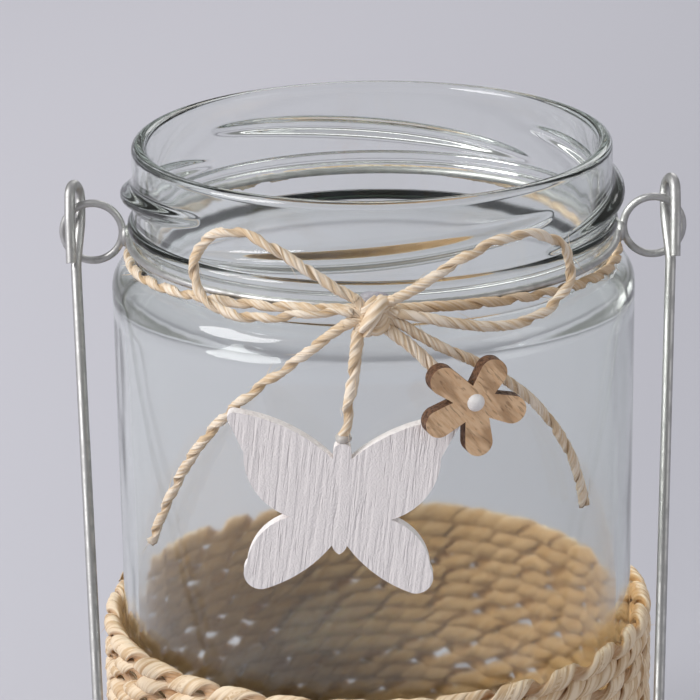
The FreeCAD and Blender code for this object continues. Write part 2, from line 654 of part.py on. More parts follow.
def string(name, start, end):
    """Taut twine from the knot to a pendant."""
    line = add("Part::Cylinder", name, Radius="Sizes.twine_diameter / 2")
    line.Height = (end - start).Length
    line.Placement = pointing(start, end)
    print(f"{name}: {(end - start).Length:.1f} mm long")
    return line


def butterfly_string(board):
    """Twine from the knot down to the top of the butterfly's head, with a ring of glue round its end."""
    start = point_at("-Sizes.butterfly_string_side", f"{KNOT_Y} - Sizes.butterfly_string_out",
                     f"{WIRE_Z} - Sizes.butterfly_string_drop")
    head = board.Placement * Vector(0, -value("Sizes.butterfly_thickness / 2"), 0)
    way = (head - start).normalize()
    line = string("butterfly_string", start, head - way * value("Sizes.string_gap"))
    glue = add("Part::Torus", "butterfly_glue", Radius2="Sizes.glue_ring",
               Radius1="Sizes.twine_diameter / 2 + Sizes.glue_ring_gap + Sizes.glue_ring")
    glue.Placement = pointing(head - way * value("2 * Sizes.glue_ring"), head + way)
    return [line, glue]


def flower_string(board):
    """Twine from the knot to the back of a petal, with a pad of glue between them."""
    start = point_at("Sizes.flower_string_side", f"{KNOT_Y} - Sizes.flower_string_out",
                     f"{WIRE_Z} - Sizes.flower_string_drop")
    outward = board.Placement.Rotation * Vector(0, -1, 0)
    facing = math.radians(value("Sizes.flower_turn"))
    seat = board.Placement * Vector(-value("Sizes.seat_side") / math.cos(facing), 0, value("Sizes.seat_rise"))
    glue = add("Part::Cylinder", "flower_glue", Radius="Sizes.flower_glue_radius",
               Height="Sizes.flower_glue_height")
    glue.Placement = pointing(seat, seat - outward)
    depth = value("Sizes.flower_glue_height + Sizes.string_gap + Sizes.twine_diameter / 2")
    return [string("flower_string", start, seat - outward * depth), glue]


def tealight():
    """Candle in a thin cup, standing on the floor of the jar."""
    cup_bore = "(Sizes.cup_radius - Sizes.cup_wall)"
    cup = turned("tealight_cup", [
        ("0", "0"), ("Sizes.cup_radius", "0"), ("Sizes.cup_radius", "Sizes.cup_height"),
        (cup_bore, "Sizes.cup_height"), (cup_bore, "Sizes.cup_wall"), ("0", "Sizes.cup_wall"),
    ])
    lift(cup, "Sizes.base_thickness")
    collar_bore = "(Sizes.wick_radius + Sizes.wick_gap)"
    collar = f"({collar_bore} + Sizes.wick_base_wall)"
    base = turned("tealight_wick_base", [
        (collar_bore, "0"), ("Sizes.wick_base_radius", "0"),
        ("Sizes.wick_base_radius", "Sizes.wick_base_sheet"), (collar, "Sizes.wick_base_sheet"),
        (collar, "Sizes.wick_base_collar"), (collar_bore, "Sizes.wick_base_collar"),
    ])
    lift(base, CUP_FLOOR)
    wax_edge = f"{cup_bore} - Sizes.wax_gap"
    over_sheet = "Sizes.wick_base_sheet + Sizes.wax_gap"
    over_collar = "Sizes.wick_base_collar + Sizes.wax_gap"
    wax = turned("tealight_wax", [
        ("Sizes.wick_base_radius + Sizes.wax_gap", "0"), (wax_edge, "0"), (wax_edge, "Sizes.wax_height"),
        (collar_bore, "Sizes.wax_height"), (collar_bore, over_collar),
        (f"{collar} + Sizes.wax_gap", over_collar),
        (f"{collar} + Sizes.wax_gap", over_sheet), ("Sizes.wick_base_radius + Sizes.wax_gap", over_sheet),
    ])
    lift(wax, CUP_FLOOR)
    wick = add("Part::Cylinder", "tealight_wick", Radius="Sizes.wick_radius", Height="Sizes.wick_height")
    lift(wick, CUP_FLOOR)
    return [cup, base, wax, wick]


def check(pieces):
    """Stop on any failed object and on any piece that is not one good solid."""
    for item in doc.Objects:
        if "Invalid" in item.State or "Error" in item.State:
            raise RuntimeError(f"{item.Label} failed: {item.State}")
    for piece in pieces:
        shape = piece.Shape
        if shape.isNull() or not shape.isValid() or len(shape.Solids) != 1:
            raise RuntimeError(f"{piece.Label} is not one valid solid")


def main():
    """Build every piece and write its file."""
    board = butterfly()
    blossom = flower()
    pieces = [glass_jar(), neck_wire(), bail_handle(), rope_wrap(), neck_twine(), bow_knot(), glue_dot()]
    pieces.append(cord("bow_loop_left", BOW_LOOP_LEFT))
    pieces.append(cord("bow_loop_right", BOW_LOOP_RIGHT))
    pieces.append(cord("bow_tail_left", BOW_TAIL_LEFT))
    pieces.append(cord("bow_tail_right", BOW_TAIL_RIGHT))
    pieces += [board, *butterfly_string(board), blossom, flower_centre(blossom), *flower_string(blossom)]
    pieces += tealight()
    doc.recompute()
    check(pieces)
    os.makedirs("parts", exist_ok=True)
    for piece in pieces:
        piece.Shape.exportStep(f"parts/{piece.Label}.step")
        print(f"{piece.Label}: {piece.Shape.Volume:.1f} cubic mm")


main()
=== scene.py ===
"""Mason jar lantern: glass jar with a wire bail, a wound rope skirt, a twine bow and two wooden pendants."""

import math

import bpy
import numpy as np
from bpy.props import FloatProperty, FloatVectorProperty, IntProperty, PointerProperty
from mathutils import Matrix, Vector


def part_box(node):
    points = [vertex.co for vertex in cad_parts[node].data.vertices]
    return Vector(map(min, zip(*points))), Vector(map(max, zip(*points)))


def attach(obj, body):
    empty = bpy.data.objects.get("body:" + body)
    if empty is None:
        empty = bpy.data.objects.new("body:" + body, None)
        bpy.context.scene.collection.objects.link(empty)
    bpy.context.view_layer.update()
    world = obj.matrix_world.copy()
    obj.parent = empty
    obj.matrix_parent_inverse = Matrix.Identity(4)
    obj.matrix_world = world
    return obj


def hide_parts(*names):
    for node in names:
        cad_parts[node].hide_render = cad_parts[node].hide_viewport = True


bl_info = {
    "name": "Mason jar lantern",
    "version": (1, 0, 0),
    "blender": (4, 5, 0),
    "location": "View3D > Sidebar > Lantern",
    "description": "Builds a glass jar lantern with a wire bail, a rope skirt and a twine bow",
    "category": "Object",
}

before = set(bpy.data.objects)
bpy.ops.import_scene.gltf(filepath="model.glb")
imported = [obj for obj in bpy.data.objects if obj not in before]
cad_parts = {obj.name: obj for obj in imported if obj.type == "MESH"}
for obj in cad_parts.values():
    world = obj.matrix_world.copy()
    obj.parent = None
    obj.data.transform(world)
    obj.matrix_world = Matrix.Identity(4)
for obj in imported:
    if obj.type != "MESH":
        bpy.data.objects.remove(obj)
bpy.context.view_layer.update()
LAY_MAP = "Lay"
FULL_TURN = 2 * math.pi
FLOWER_FACING = math.radians(18)
FLOWER_GRAIN = math.radians(42)
BUTTERFLY_GRAIN = math.radians(7)
# How much wider the twisted twine is than its solid, and the radius of its loose fibres at their roots
TWINE_SWELL = 1.06
FIBRE = 0.00007
# How far the jar's neck is set in from its body
NECK_STEP = 0.0039

# Cord routes from the knot outwards, in metres
BOW_LOOP_LEFT = [
    (-0.0027, -0.0464, 0.1260), (-0.0068, -0.0460, 0.1284), (-0.0115, -0.0452, 0.1314),
    (-0.0163, -0.0437, 0.1344), (-0.0209, -0.0416, 0.1361), (-0.0250, -0.0393, 0.1354),
    (-0.0278, -0.0374, 0.1323), (-0.0289, -0.0365, 0.1284), (-0.0281, -0.0372, 0.1249),
    (-0.0252, -0.0392, 0.1226), (-0.0205, -0.0420, 0.1218), (-0.0148, -0.0444, 0.1227),
    (-0.0089, -0.0459, 0.1239), (-0.0032, -0.0465, 0.1241),
]
BOW_LOOP_RIGHT = [
    (0.0027, -0.0464, 0.1258), (0.0062, -0.0462, 0.1273), (0.0105, -0.0455, 0.1301),
    (0.0153, -0.0442, 0.1328), (0.0208, -0.0418, 0.1347), (0.0260, -0.0389, 0.1345),
    (0.0298, -0.0361, 0.1322), (0.0318, -0.0343, 0.1284), (0.0314, -0.0346, 0.1246),
    (0.0287, -0.0369, 0.1215), (0.0241, -0.0400, 0.1199), (0.0182, -0.0430, 0.1201),
    (0.0120, -0.0452, 0.1217), (0.0066, -0.0462, 0.1232), (0.0032, -0.0465, 0.1238),
]
BOW_TAIL_LEFT = [
    (-0.0046, -0.0460, 0.1218), (-0.0080, -0.0456, 0.1193), (-0.0122, -0.0448, 0.1156),
    (-0.0166, -0.0434, 0.1121), (-0.0214, -0.0413, 0.1078), (-0.0261, -0.0385, 0.1023),
    (-0.0304, -0.0351, 0.0956), (-0.0335, -0.0321, 0.0888), (-0.0358, -0.0295, 0.0829),
    (-0.0372, -0.0276, 0.0789),
]
BOW_TAIL_RIGHT = [
    (0.0047, -0.0460, 0.1217), (0.0071, -0.0458, 0.1198), (0.0106, -0.0451, 0.1176),
    (0.0152, -0.0438, 0.1152), (0.0207, -0.0415, 0.1112), (0.0264, -0.0382, 0.1054),
    (0.0309, -0.0347, 0.0978), (0.0334, -0.0321, 0.0906), (0.0342, -0.0312, 0.0856),
]
# Strings of the pendants, from the knot to the butterfly's head and to the back of the flower
BUTTERFLY_STRING = [
    (-0.0025, -0.0461, 0.1208), (-0.0031, -0.0462, 0.1150), (-0.0041, -0.0462, 0.1080),
    (-0.0052, -0.0460, 0.1026),
]
FLOWER_STRING = [
    (0.0022, -0.0465, 0.1212), (0.0050, -0.0467, 0.1191), (0.0080, -0.0469, 0.1163),
    (0.0101, -0.0471, 0.1141),
]
# Strands of the knot around its middle, each with its width
KNOT_STRANDS = [
    (0.0025, [(0.0017, 0.0004, 0.0020), (0.0012, -0.0012, 0.0024), (0.0003, -0.0021, 0.0011),
              (-0.0008, -0.0020, -0.0007), (-0.0013, -0.0011, -0.0022), (-0.0009, 0.0004, -0.0026)]),
    (0.0021, [(-0.0016, 0.0002, -0.0006), (-0.0004, -0.0009, -0.0020), (0.0009, -0.0014, -0.0019),
              (0.0018, -0.0009, -0.0005), (0.0015, 0.0004, 0.0011)]),
    (0.0018, [(-0.0019, 0.0002, 0.0003), (-0.0013, -0.0010, 0.0011), (-0.0004, -0.0012, 0.0020),
              (0.0004, 0.0002, 0.0025)]),
]
# Where the cords come out of the knot, around its middle
KNOT_LEFT = (-0.0012, -0.0003, -0.0002)
KNOT_RIGHT = (0.0011, -0.0004, 0.0001)


def colour_property(name, description, default):
    """Colour that a user can change."""
    return FloatVectorProperty(
        name=name, description=description, subtype="COLOR", size=3, min=0, max=1, default=default)


def length_property(name, description, default):
    """Size that a user can change."""
    return FloatProperty(name=name, description=description, unit="LENGTH", default=default, min=0)


def angle_property(name, description, degrees):
    """Angle that a user can change."""
    return FloatProperty(name=name, description=description, subtype="ANGLE", default=math.radians(degrees))


def power_property(name, description, watts):
    """Power of a lamp that a user can change."""
    return FloatProperty(name=name, description=description, unit="POWER", default=watts, min=0)


def count_property(name, description, default):
    """Number of like things that a user can change."""
    return IntProperty(name=name, description=description, default=default, min=1)


class LanternStage(bpy.types.PropertyGroup):
    """Camera, floor and light."""

    background: colour_property("Background", "Colour behind the lantern", (0.545, 0.540, 0.595))
    # Floor and floor shade below are a lit and a shaded colour of one floor, blended as painted shade
    # towards the front right.
    floor: colour_property("Floor", "Floor at the back left", (0.64, 0.633, 0.68))
    floor_shade: colour_property("Floor shade", "Floor at the front right", (0.51, 0.51, 0.553))
    flag: colour_property("Flag", "Dim ring that glass and wire reflect", (0.13, 0.135, 0.115))
    ambient: colour_property("Ambient", "Even light from all sides", (0.40, 0.40, 0.42))
    key_power: power_property("Key light", "Power of the lamp at the left", 14.0)
    fill_power: power_property("Fill light", "Power of the lamp at the right", 1.1)
    back_power: power_property("Back light", "Power of the lamp behind the lantern", 3.0)
    camera_place: FloatVectorProperty(
        name="Camera place", description="Where the camera stands", subtype="TRANSLATION", unit="LENGTH",
        size=3, default=(0.0, -0.63685, 0.30953))
    camera_pitch: angle_property("Camera pitch", "How far the camera looks down", 17.993)
    camera_yaw: angle_property("Camera yaw", "How far the camera looks to the right", -0.371)
    camera_roll: angle_property("Camera roll", "How far the camera is tilted", -0.795)
    camera_lens: FloatProperty(
        name="Focal length", description="Lens of the camera on its 36 mm sensor", unit="CAMERA",
        default=202.15)


class LanternTwine(bpy.types.PropertyGroup):
    """Two-ply straw twine of the bow, the neck and the pendants."""

    diameter: length_property("Diameter", "Thickness of the bow's twine", 0.0017)
    string_width: length_property("String width", "Thickness of the pendants' strings", 0.0021)
    lay: length_property("Lay", "Length of one full twist", 0.0066)
    pale: colour_property("Pale", "Light fibres", (0.88, 0.76, 0.615))
    tan: colour_property("Tan", "Darker fibres", (0.72, 0.54, 0.35))
    # The shade colour below is painted shade between the plies and in the grooves between fibres.
    shade: colour_property("Shade", "Fibres deep between the plies", (0.48, 0.32, 0.17))
    # The colour below is painted shade: the neck twine right of the knot is darker where less light falls.
    painted_right_shade: colour_property("Aged", "Browned fibres on the right of the neck", (0.54, 0.36, 0.20))
    hairs: count_property("Loose fibres", "Loose fibres on each cord of the bow", 16)


class LanternRope(bpy.types.PropertyGroup):
    """Straw rope wound round the jar."""

    width: length_property("Width", "Rope across both plies", 0.0040)
    lay: length_property("Lay", "Length of one full twist", 0.0098)
    turns: count_property("Turns", "Turns round the jar", 18)
    end_angle: angle_property("End", "Direction of the upper end from the jar's axis", 170)
    pale: colour_property("Pale", "Light fibres", (0.84, 0.68, 0.49))
    tan: colour_property("Tan", "Darker fibres", (0.64, 0.45, 0.265))
    # The shade colour below is painted shade between the plies and in the grooves between fibres.
    shade: colour_property("Shade", "Fibres deep between the plies", (0.38, 0.185, 0.07))
    # The colour below is painted shade on the side of the rope against the glass.
    inner: colour_property("Inner side", "Glued and shaded side against the glass", (0.47, 0.24, 0.075))
    squeeze: FloatProperty(
        name="Squeeze", description="Rope's thickness against the glass as a share of its width",
        subtype="FACTOR", default=0.82, min=0.3, max=1.0)
    hairs: count_property("Loose fibres", "Loose fibres on the rope", 170)


class LanternGlass(bpy.types.PropertyGroup):
    """Blown glass of the jar."""

    height: length_property("Height", "Foot to rim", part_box("glass_jar")[1].z)
    body_radius: length_property("Body radius", "Outside of the body at the shoulder", 0.0442)
    wall: length_property("Wall", "Thickness of the wall", 0.0026)
    lug_count: count_property("Lugs", "Thread lugs round the neck", 4)
    lug_span: angle_property("Lug span", "Part of the neck that one lug covers", 92)
    lug_rise: length_property("Lug rise", "Climb of a lug along its span", 0.0059)
    lug_height: length_property("Lug height", "How far a lug stands out", 0.0021)
    tint: colour_property("Tint", "Colour of thick glass", (0.74, 0.84, 0.76))
    tint_density: FloatProperty(
        name="Tint density", description="How fast thick glass takes on its tint", default=42.0, min=0)


class LanternWire(bpy.types.PropertyGroup):
    """Galvanised wire of the bail and of the neck."""

    zinc: colour_property("Zinc", "Colour of the wire", (0.54, 0.535, 0.525))
    dull: colour_property("Dull zinc", "Colour of dull patches", (0.47, 0.465, 0.45675))


class LanternPendants(bpy.types.PropertyGroup):
    """Sawn boards of the butterfly and the flower."""

    edge: length_property("Edge", "Rounding of the boards' edges", 0.00022)
    paint: colour_property("Paint", "Butterfly's paint", (0.88, 0.828, 0.81))
    paint_groove: colour_property("Groove", "Paint deep in the grain", (0.66, 0.615, 0.60))
    oak: colour_property("Oak", "Flower's light wood", (0.78, 0.50, 0.285))
    pore: colour_property("Pores", "Flower's dark grain", (0.25, 0.13, 0.065))
    saw_cut: colour_property("Saw cut", "Flower's browned sides", (0.24, 0.115, 0.055))
    scorch: colour_property("Scorch", "Flower's burnt edges", (0.060, 0.028, 0.016))


class LanternCandle(bpy.types.PropertyGroup):
    """Tea light in the jar."""

    wax: colour_property("Wax", "Candle wax", (0.86, 0.84, 0.78))
    foil: colour_property("Foil", "Aluminium of the cup", (0.78, 0.78, 0.80))
    flutes: count_property("Flutes", "Flutes round the cup", 44)
    cotton: colour_property("Cotton", "Wick", (0.80, 0.76, 0.68))


def join(tree, value, socket):
    """Link a socket to an input, or set the input to a value."""
    if isinstance(value, bpy.types.NodeSocket):
        tree.links.new(value, socket)
    elif socket.type == "RGBA" and len(value) == 3:
        socket.default_value = (*value, 1.0)
    else:
        socket.default_value = value


def feed(tree, sockets, **inputs):
    """Set named inputs to values or join them to sockets."""
    for name, value in inputs.items():
        join(tree, value, sockets[name.replace("_", " ")])


def node(tree, kind, settings=None, **inputs):
    """New shader node with its inputs set to values or joined to sockets."""
    made = tree.nodes.new(f"ShaderNode{kind}")
    for name, value in (settings or {}).items():
        setattr(made, name, value)
    feed(tree, made.inputs, **inputs)
    return made


def calculate(tree, operation, first, second=0.0):
    """Result of a math node."""
    made = node(tree, "Math", {"operation": operation})
    join(tree, first, made.inputs[0])
    join(tree, second, made.inputs[1])
    return made.outputs[0]


def scaled(tree, value, share):
    """Value times a share."""
    return calculate(tree, "MULTIPLY", value, share)


def dot_product(tree, first, second):
    """How far two directions point the same way."""
    made = node(tree, "VectorMath", {"operation": "DOT_PRODUCT"})
    join(tree, first, made.inputs[0])
    join(tree, second, made.inputs[1])
    return made.outputs["Value"]


def blend_colours(tree, share, first, second):
    """Mix of two colours."""
    made = node(tree, "Mix", {"data_type": "RGBA"})
    join(tree, share, made.inputs[0])
    join(tree, first, made.inputs[6])
    join(tree, second, made.inputs[7])
    return made.outputs[2]


def spread_over(tree, value, low, high, first, second):
    """Value carried from one range to another, smoothly and clamped."""
    made = node(tree, "MapRange", {"interpolation_type": "SMOOTHSTEP"}, Value=value,
                From_Min=low, From_Max=high, To_Min=first, To_Max=second)
    return made.outputs["Result"]


def streaks(tree, place, scale, detail):
    """Noise of a place stretched by a scale."""
    stretched = node(tree, "Mapping", Vector=place, Scale=scale)
    made = node(tree, "TexNoise", Vector=stretched.outputs["Vector"], Scale=1.0, Detail=detail)
    return made.outputs["Fac"]


def new_group(name, inputs, outputs):
    """Empty node group with named sockets."""
    tree = bpy.data.node_groups.new(name, "ShaderNodeTree")
    for label, kind in inputs:
        tree.interface.new_socket(name=label, in_out="INPUT", socket_type=f"NodeSocket{kind}")
    for label, kind in outputs:
        tree.interface.new_socket(name=label, in_out="OUTPUT", socket_type=f"NodeSocket{kind}")
    source = tree.nodes.new("NodeGroupInput")
    target = tree.nodes.new("NodeGroupOutput")
    return tree, source.outputs, target.inputs


def straw_group():
    """Fibres that run along a ply, with painted shade where the plies meet and in the grooves between
    fibres.
    """
    name = "Straw fibres"
    if name in bpy.data.node_groups:
        return bpy.data.node_groups[name]
    tree, given, wanted = new_group(
        name,
        [("Lay", "Vector"), ("Fine", "Vector"), ("Broad", "Vector"), ("Pale", "Color"), ("Tan", "Color"),
         ("Shade", "Color")],
        [("Color", "Color"), ("Height", "Float"), ("Roughness", "Float")])
    fine = streaks(tree, given["Lay"], given["Fine"], detail=3.0)
    broad = streaks(tree, given["Lay"], given["Broad"], detail=1.0)
    tone = calculate(tree, "ADD", scaled(tree, fine, 0.65), scaled(tree, broad, 0.35))
    tone = spread_over(tree, tone, 0.42, 0.56, 0.0, 1.0)
    colour = blend_colours(tree, tone, given["Tan"], given["Pale"])
    # Painted shade: fibres darken towards the shade colour where the plies meet.
    around = node(tree, "SeparateXYZ", Vector=given["Lay"]).outputs["Y"]
    inward = calculate(tree, "COSINE", scaled(tree, around, FULL_TURN))
    deep = spread_over(tree, inward, 0.0, 0.95, 0.0, 0.65)
    colour = blend_colours(tree, deep, colour, given["Shade"])
    # Painted shade: the grooves between fibres darken towards the shade colour.
    split = spread_over(tree, fine, 0.30, 0.40, 0.5, 0.0)
    feed(tree, wanted, Color=blend_colours(tree, split, colour, given["Shade"]), Height=fine,
         Roughness=spread_over(tree, fine, 0.3, 0.7, 0.75, 0.5))
    return tree


def board_group():
    """Long grain of a sawn board: fine lines, broad rings and pores."""
    name = "Board grain"
    if name in bpy.data.node_groups:
        return bpy.data.node_groups[name]
    tree, given, wanted = new_group(
        name,
        [(label, "Vector") for label in ("Place", "Turn", "Lines", "Rings", "Pores")],
        [("Lines", "Float"), ("Rings", "Float"), ("Pores", "Float")])
    turned = node(tree, "Mapping", Vector=given["Place"], Rotation=given["Turn"]).outputs["Vector"]
    lines = spread_over(tree, streaks(tree, turned, given["Lines"], detail=3.0), 0.36, 0.58, 0.0, 1.0)
    rings = streaks(tree, turned, given["Rings"], detail=1.5)
    pores = spread_over(tree, streaks(tree, turned, given["Pores"], detail=1.0), 0.60, 0.70, 0.0, 1.0)
    feed(tree, wanted, Lines=lines, Rings=rings, Pores=pores)
    return tree


def patina_group():
    """Uneven patches and small specks of a worn or cast surface."""
    name = "Patina"
    if name in bpy.data.node_groups:
        return bpy.data.node_groups[name]
    tree, given, wanted = new_group(
        name, [("Place", "Vector"), ("Patches", "Float"), ("Specks", "Float")],
        [("Patches", "Float"), ("Specks", "Float")])
    patches = node(tree, "TexNoise", Vector=given["Place"], Scale=given["Patches"], Detail=3.0)
    specks = node(tree, "TexNoise", Vector=given["Place"], Scale=given["Specks"], Detail=1.0)
    feed(tree, wanted, Patches=spread_over(tree, patches.outputs["Fac"], 0.38, 0.62, 0.0, 1.0),
         Specks=spread_over(tree, specks.outputs["Fac"], 0.62, 0.75, 0.0, 1.0))
    return tree


def new_material(name, **inputs):
    """Material with one shader, whose plain inputs are set."""
    material = bpy.data.materials.new(name)
    material.use_nodes = True
    tree = material.node_tree
    tree.nodes.clear()
    shader = node(tree, "BsdfPrincipled", **inputs)
    node(tree, "OutputMaterial", Surface=shader.outputs["BSDF"])
    return material, tree, shader


def place_group(tree, group, **inputs):
    """Node group placed in a material with its own values."""
    return node(tree, "Group", {"node_tree": group}, **inputs).outputs


def raise_surface(tree, shader, height, strength, distance):
    """Bump a shader by a height."""
    bump = node(tree, "Bump", Height=height, Strength=strength, Distance=distance)
    feed(tree, shader.inputs, Normal=bump.outputs["Normal"])


def straw_material(name, colours, fine, broad, shine=0.35, bump=(1.0, 0.0005)):
    """Fibres along the plies of a cord, in pale, tan and shade colours."""
    material, tree, shader = new_material(name, Specular_IOR_Level=shine)
    lay = node(tree, "UVMap", {"uv_map": LAY_MAP}).outputs["UV"]
    pale, tan, shade = colours
    fibres = place_group(
        tree, straw_group(), Lay=lay, Fine=fine, Broad=broad, Pale=pale, Tan=tan, Shade=shade)
    feed(tree, shader.inputs, Base_Color=fibres["Color"], Roughness=fibres["Roughness"])
    raise_surface(tree, shader, fibres["Height"], *bump)
    return material, tree, shader


def twine_material(name, twine):
    """Fine straw of the twine."""
    return straw_material(name, (twine.pale, twine.tan, twine.shade), fine=(170.0, 8.0, 1.0),
                          broad=(120.0, 1.2, 1.0))


def fade_colour(tree, shader, share, colour):
    """Fade a shader's colour to another one by a share."""
    own = shader.inputs["Base Color"].links[0].from_socket
    feed(tree, shader.inputs, Base_Color=blend_colours(tree, share, own, colour))


def glass_material(glass):
    """Clear glass, slightly wavy and rough, that casts a faint shadow."""
    let_through = 0.88
    material, tree, shader = new_material(
        "jar_glass", Base_Color=(0.985, 0.992, 0.988), Roughness=0.06, IOR=1.5, Transmission_Weight=1.0)
    place = node(tree, "TexCoord").outputs["Object"]
    wave = streaks(tree, place, (130.0, 130.0, 40.0), detail=1.0)
    raise_surface(tree, shader, wave, strength=0.25, distance=0.0004)
    shadow = node(tree, "LightPath").outputs["Is Shadow Ray"]
    feed(tree, shader.inputs, Alpha=calculate(tree, "SUBTRACT", 1.0, scaled(tree, shadow, let_through)))
    depth = node(tree, "VolumeAbsorption", Color=glass.tint, Density=glass.tint_density)
    output = next(item for item in tree.nodes if item.type == "OUTPUT_MATERIAL")
    feed(tree, output.inputs, Volume=depth.outputs["Volume"])
    return material


def patchy_material(name, pale, dull, sizes, rough, bump, shine="Patches", **inputs):
    """Surface with dull patches, uneven shine and a bump.

    Sizes are the scales of its patches and specks, rough is its range of roughness along the pattern that
    shine names, and bump is a pattern, a strength and a distance.
    """
    material, tree, shader = new_material(name, **inputs)
    place = node(tree, "TexCoord").outputs["Object"]
    patina = place_group(tree, patina_group(), Place=place, Patches=sizes[0], Specks=sizes[1])
    feed(tree, shader.inputs, Base_Color=blend_colours(tree, patina["Patches"], pale, dull),
         Roughness=spread_over(tree, patina[shine], 0.0, 1.0, *rough))
    pattern, strength, distance = bump
    raise_surface(tree, shader, patina[pattern], strength, distance)
    return material


def wire_material(wire):
    """Galvanised wire with dull patches and faint specks."""
    return patchy_material("galvanised_wire", wire.zinc, wire.dull, sizes=(420.0, 1500.0),
                           rough=(0.42, 0.56), bump=("Specks", 0.06, 0.0001), Metallic=1.0)


def glue_material(name, pale, dull, clear):
    """Set glue with a wet shine; clear is how far light goes through it."""
    return patchy_material(name, pale, dull, sizes=(900.0, 2600.0), rough=(0.12, 0.4), shine="Specks",
                           bump=("Patches", 0.3, 0.0002), IOR=1.46, Transmission_Weight=clear)


def dot_material():
    """White paint dab."""
    return patchy_material("white_dab", (0.92, 0.90, 0.87), (0.84, 0.81, 0.78), sizes=(700.0, 2500.0),
                           rough=(0.35, 0.55), bump=("Patches", 0.4, 0.0002), Specular_IOR_Level=0.5)


def wax_material(candle):
    """Soft, slightly see-through wax."""
    return patchy_material("candle_wax", candle.wax, (0.80, 0.77, 0.70), sizes=(180.0, 900.0),
                           rough=(0.30, 0.48), bump=("Patches", 0.3, 0.0004), Subsurface_Weight=0.5,
                           Subsurface_Radius=(0.004, 0.003, 0.002), Subsurface_Scale=1.0)


def foil_material(name, colour, dull):
    """Bright rolled sheet with dull patches and faint specks."""
    return patchy_material(name, colour, dull, sizes=(260.0, 1800.0), rough=(0.18, 0.34),
                           bump=("Specks", 0.3, 0.0001), Metallic=1.0)


def painted_material(pendants, lean):
    """Thin, slightly sandy white paint over grain that leans to the right."""
    material, tree, shader = new_material("painted_board", Specular_IOR_Level=0.35)
    place = node(tree, "TexCoord").outputs["Object"]
    grain = place_group(
        tree, board_group(), Place=place, Turn=(0.0, -lean, 0.0), Lines=(1200.0, 1200.0, 80.0),
        Rings=(420.0, 420.0, 26.0), Pores=(1900.0, 1900.0, 150.0))
    groove = scaled(tree, grain["Pores"], 0.14)
    dim = scaled(tree, calculate(tree, "SUBTRACT", 1.0, grain["Lines"]), 0.05)
    share = calculate(tree, "MAXIMUM", groove, dim)
    feed(tree, shader.inputs, Base_Color=blend_colours(tree, share, pendants.paint, pendants.paint_groove),
         Roughness=spread_over(tree, grain["Lines"], 0.0, 1.0, 0.75, 0.55))
    ridges = calculate(tree, "ADD", grain["Lines"], scaled(tree, grain["Rings"], 0.5))
    sand = place_group(tree, patina_group(), Place=place, Patches=3000.0, Specks=2600.0)["Patches"]
    ridges = calculate(tree, "ADD", ridges, scaled(tree, sand, 0.35))
    height = calculate(tree, "SUBTRACT", ridges, scaled(tree, grain["Pores"], 1.2))
    raise_surface(tree, shader, height, strength=0.65, distance=0.00014)
    return material


def bare_wood_material(pendants, facing):
    """Oak with dark pores and edges scorched by the cut."""
    material, tree, shader = new_material("bare_oak", Specular_IOR_Level=0.3)
    texture = node(tree, "TexCoord").outputs
    grain = place_group(
        tree, board_group(), Place=texture["Object"], Turn=(0.0, FLOWER_GRAIN, -facing),
        Lines=(2300.0, 2300.0, 22.0), Rings=(520.0, 520.0, 7.0), Pores=(2200.0, 2200.0, 12.0))
    lines = scaled(tree, grain["Lines"], 0.6)
    colour = blend_colours(tree, lines, pendants.oak, (0.88, 0.62, 0.39))
    rings = spread_over(tree, grain["Rings"], 0.46, 0.62, 0.0, 0.6)
    colour = blend_colours(tree, rings, colour, (0.36, 0.20, 0.10))
    colour = blend_colours(tree, scaled(tree, grain["Pores"], 0.4), colour, pendants.pore)
    forward = (math.sin(facing), -math.cos(facing), 0.0)
    flat = calculate(tree, "ABSOLUTE", dot_product(tree, texture["Normal"], forward))
    burnt = blend_colours(tree, lines, pendants.scorch, pendants.saw_cut)
    side = blend_colours(tree, spread_over(tree, flat, 0.10, 0.35, 0.0, 1.0), burnt, pendants.scorch)
    edge = spread_over(tree, flat, 0.55, 0.97, 1.0, 0.0)
    feed(tree, shader.inputs, Base_Color=blend_colours(tree, edge, colour, side),
         Roughness=spread_over(tree, grain["Lines"], 0.0, 1.0, 0.7, 0.5))
    height = calculate(tree, "SUBTRACT", grain["Lines"], scaled(tree, grain["Pores"], 2.0))
    raise_surface(tree, shader, height, strength=0.6, distance=0.00015)
    return material


def add_mesh(name, corners, faces, material, lay=None, smooth=True):
    """New object from corners and faces, with the lay of its fibres for each corner of a face."""
    mesh = bpy.data.meshes.new(name)
    mesh.from_pydata([tuple(corner) for corner in corners], [], [tuple(face) for face in faces])
    mesh.polygons.foreach_set("use_smooth", [smooth] * len(mesh.polygons))
    if lay is not None:
        layer = mesh.uv_layers.new(name=LAY_MAP)
        layer.data.foreach_set("uv", np.asarray(lay, dtype=np.float32).ravel())
    mesh.materials.append(material)
    piece = bpy.data.objects.new(name, mesh)
    bpy.context.scene.collection.objects.link(piece)
    return piece


def finish_piece(piece, body, slot, *nodes):
    """Let a piece ride on a body and stand for solids; the finish named by slot is not used."""
    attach(piece, body)
    if nodes:
        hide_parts(*nodes)
    return piece


def dress(name, material, bevel=0.0):
    """Material, and rounded edges where wanted, on a solid that stays."""
    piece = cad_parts[name]
    piece.data.materials.clear()
    piece.data.materials.append(material)
    if bevel:
        edge = piece.modifiers.new("Rounded edge", "BEVEL")
        edge.width = bevel
        edge.segments = 3
        edge.limit_method = "ANGLE"
        edge.angle_limit = math.radians(50)


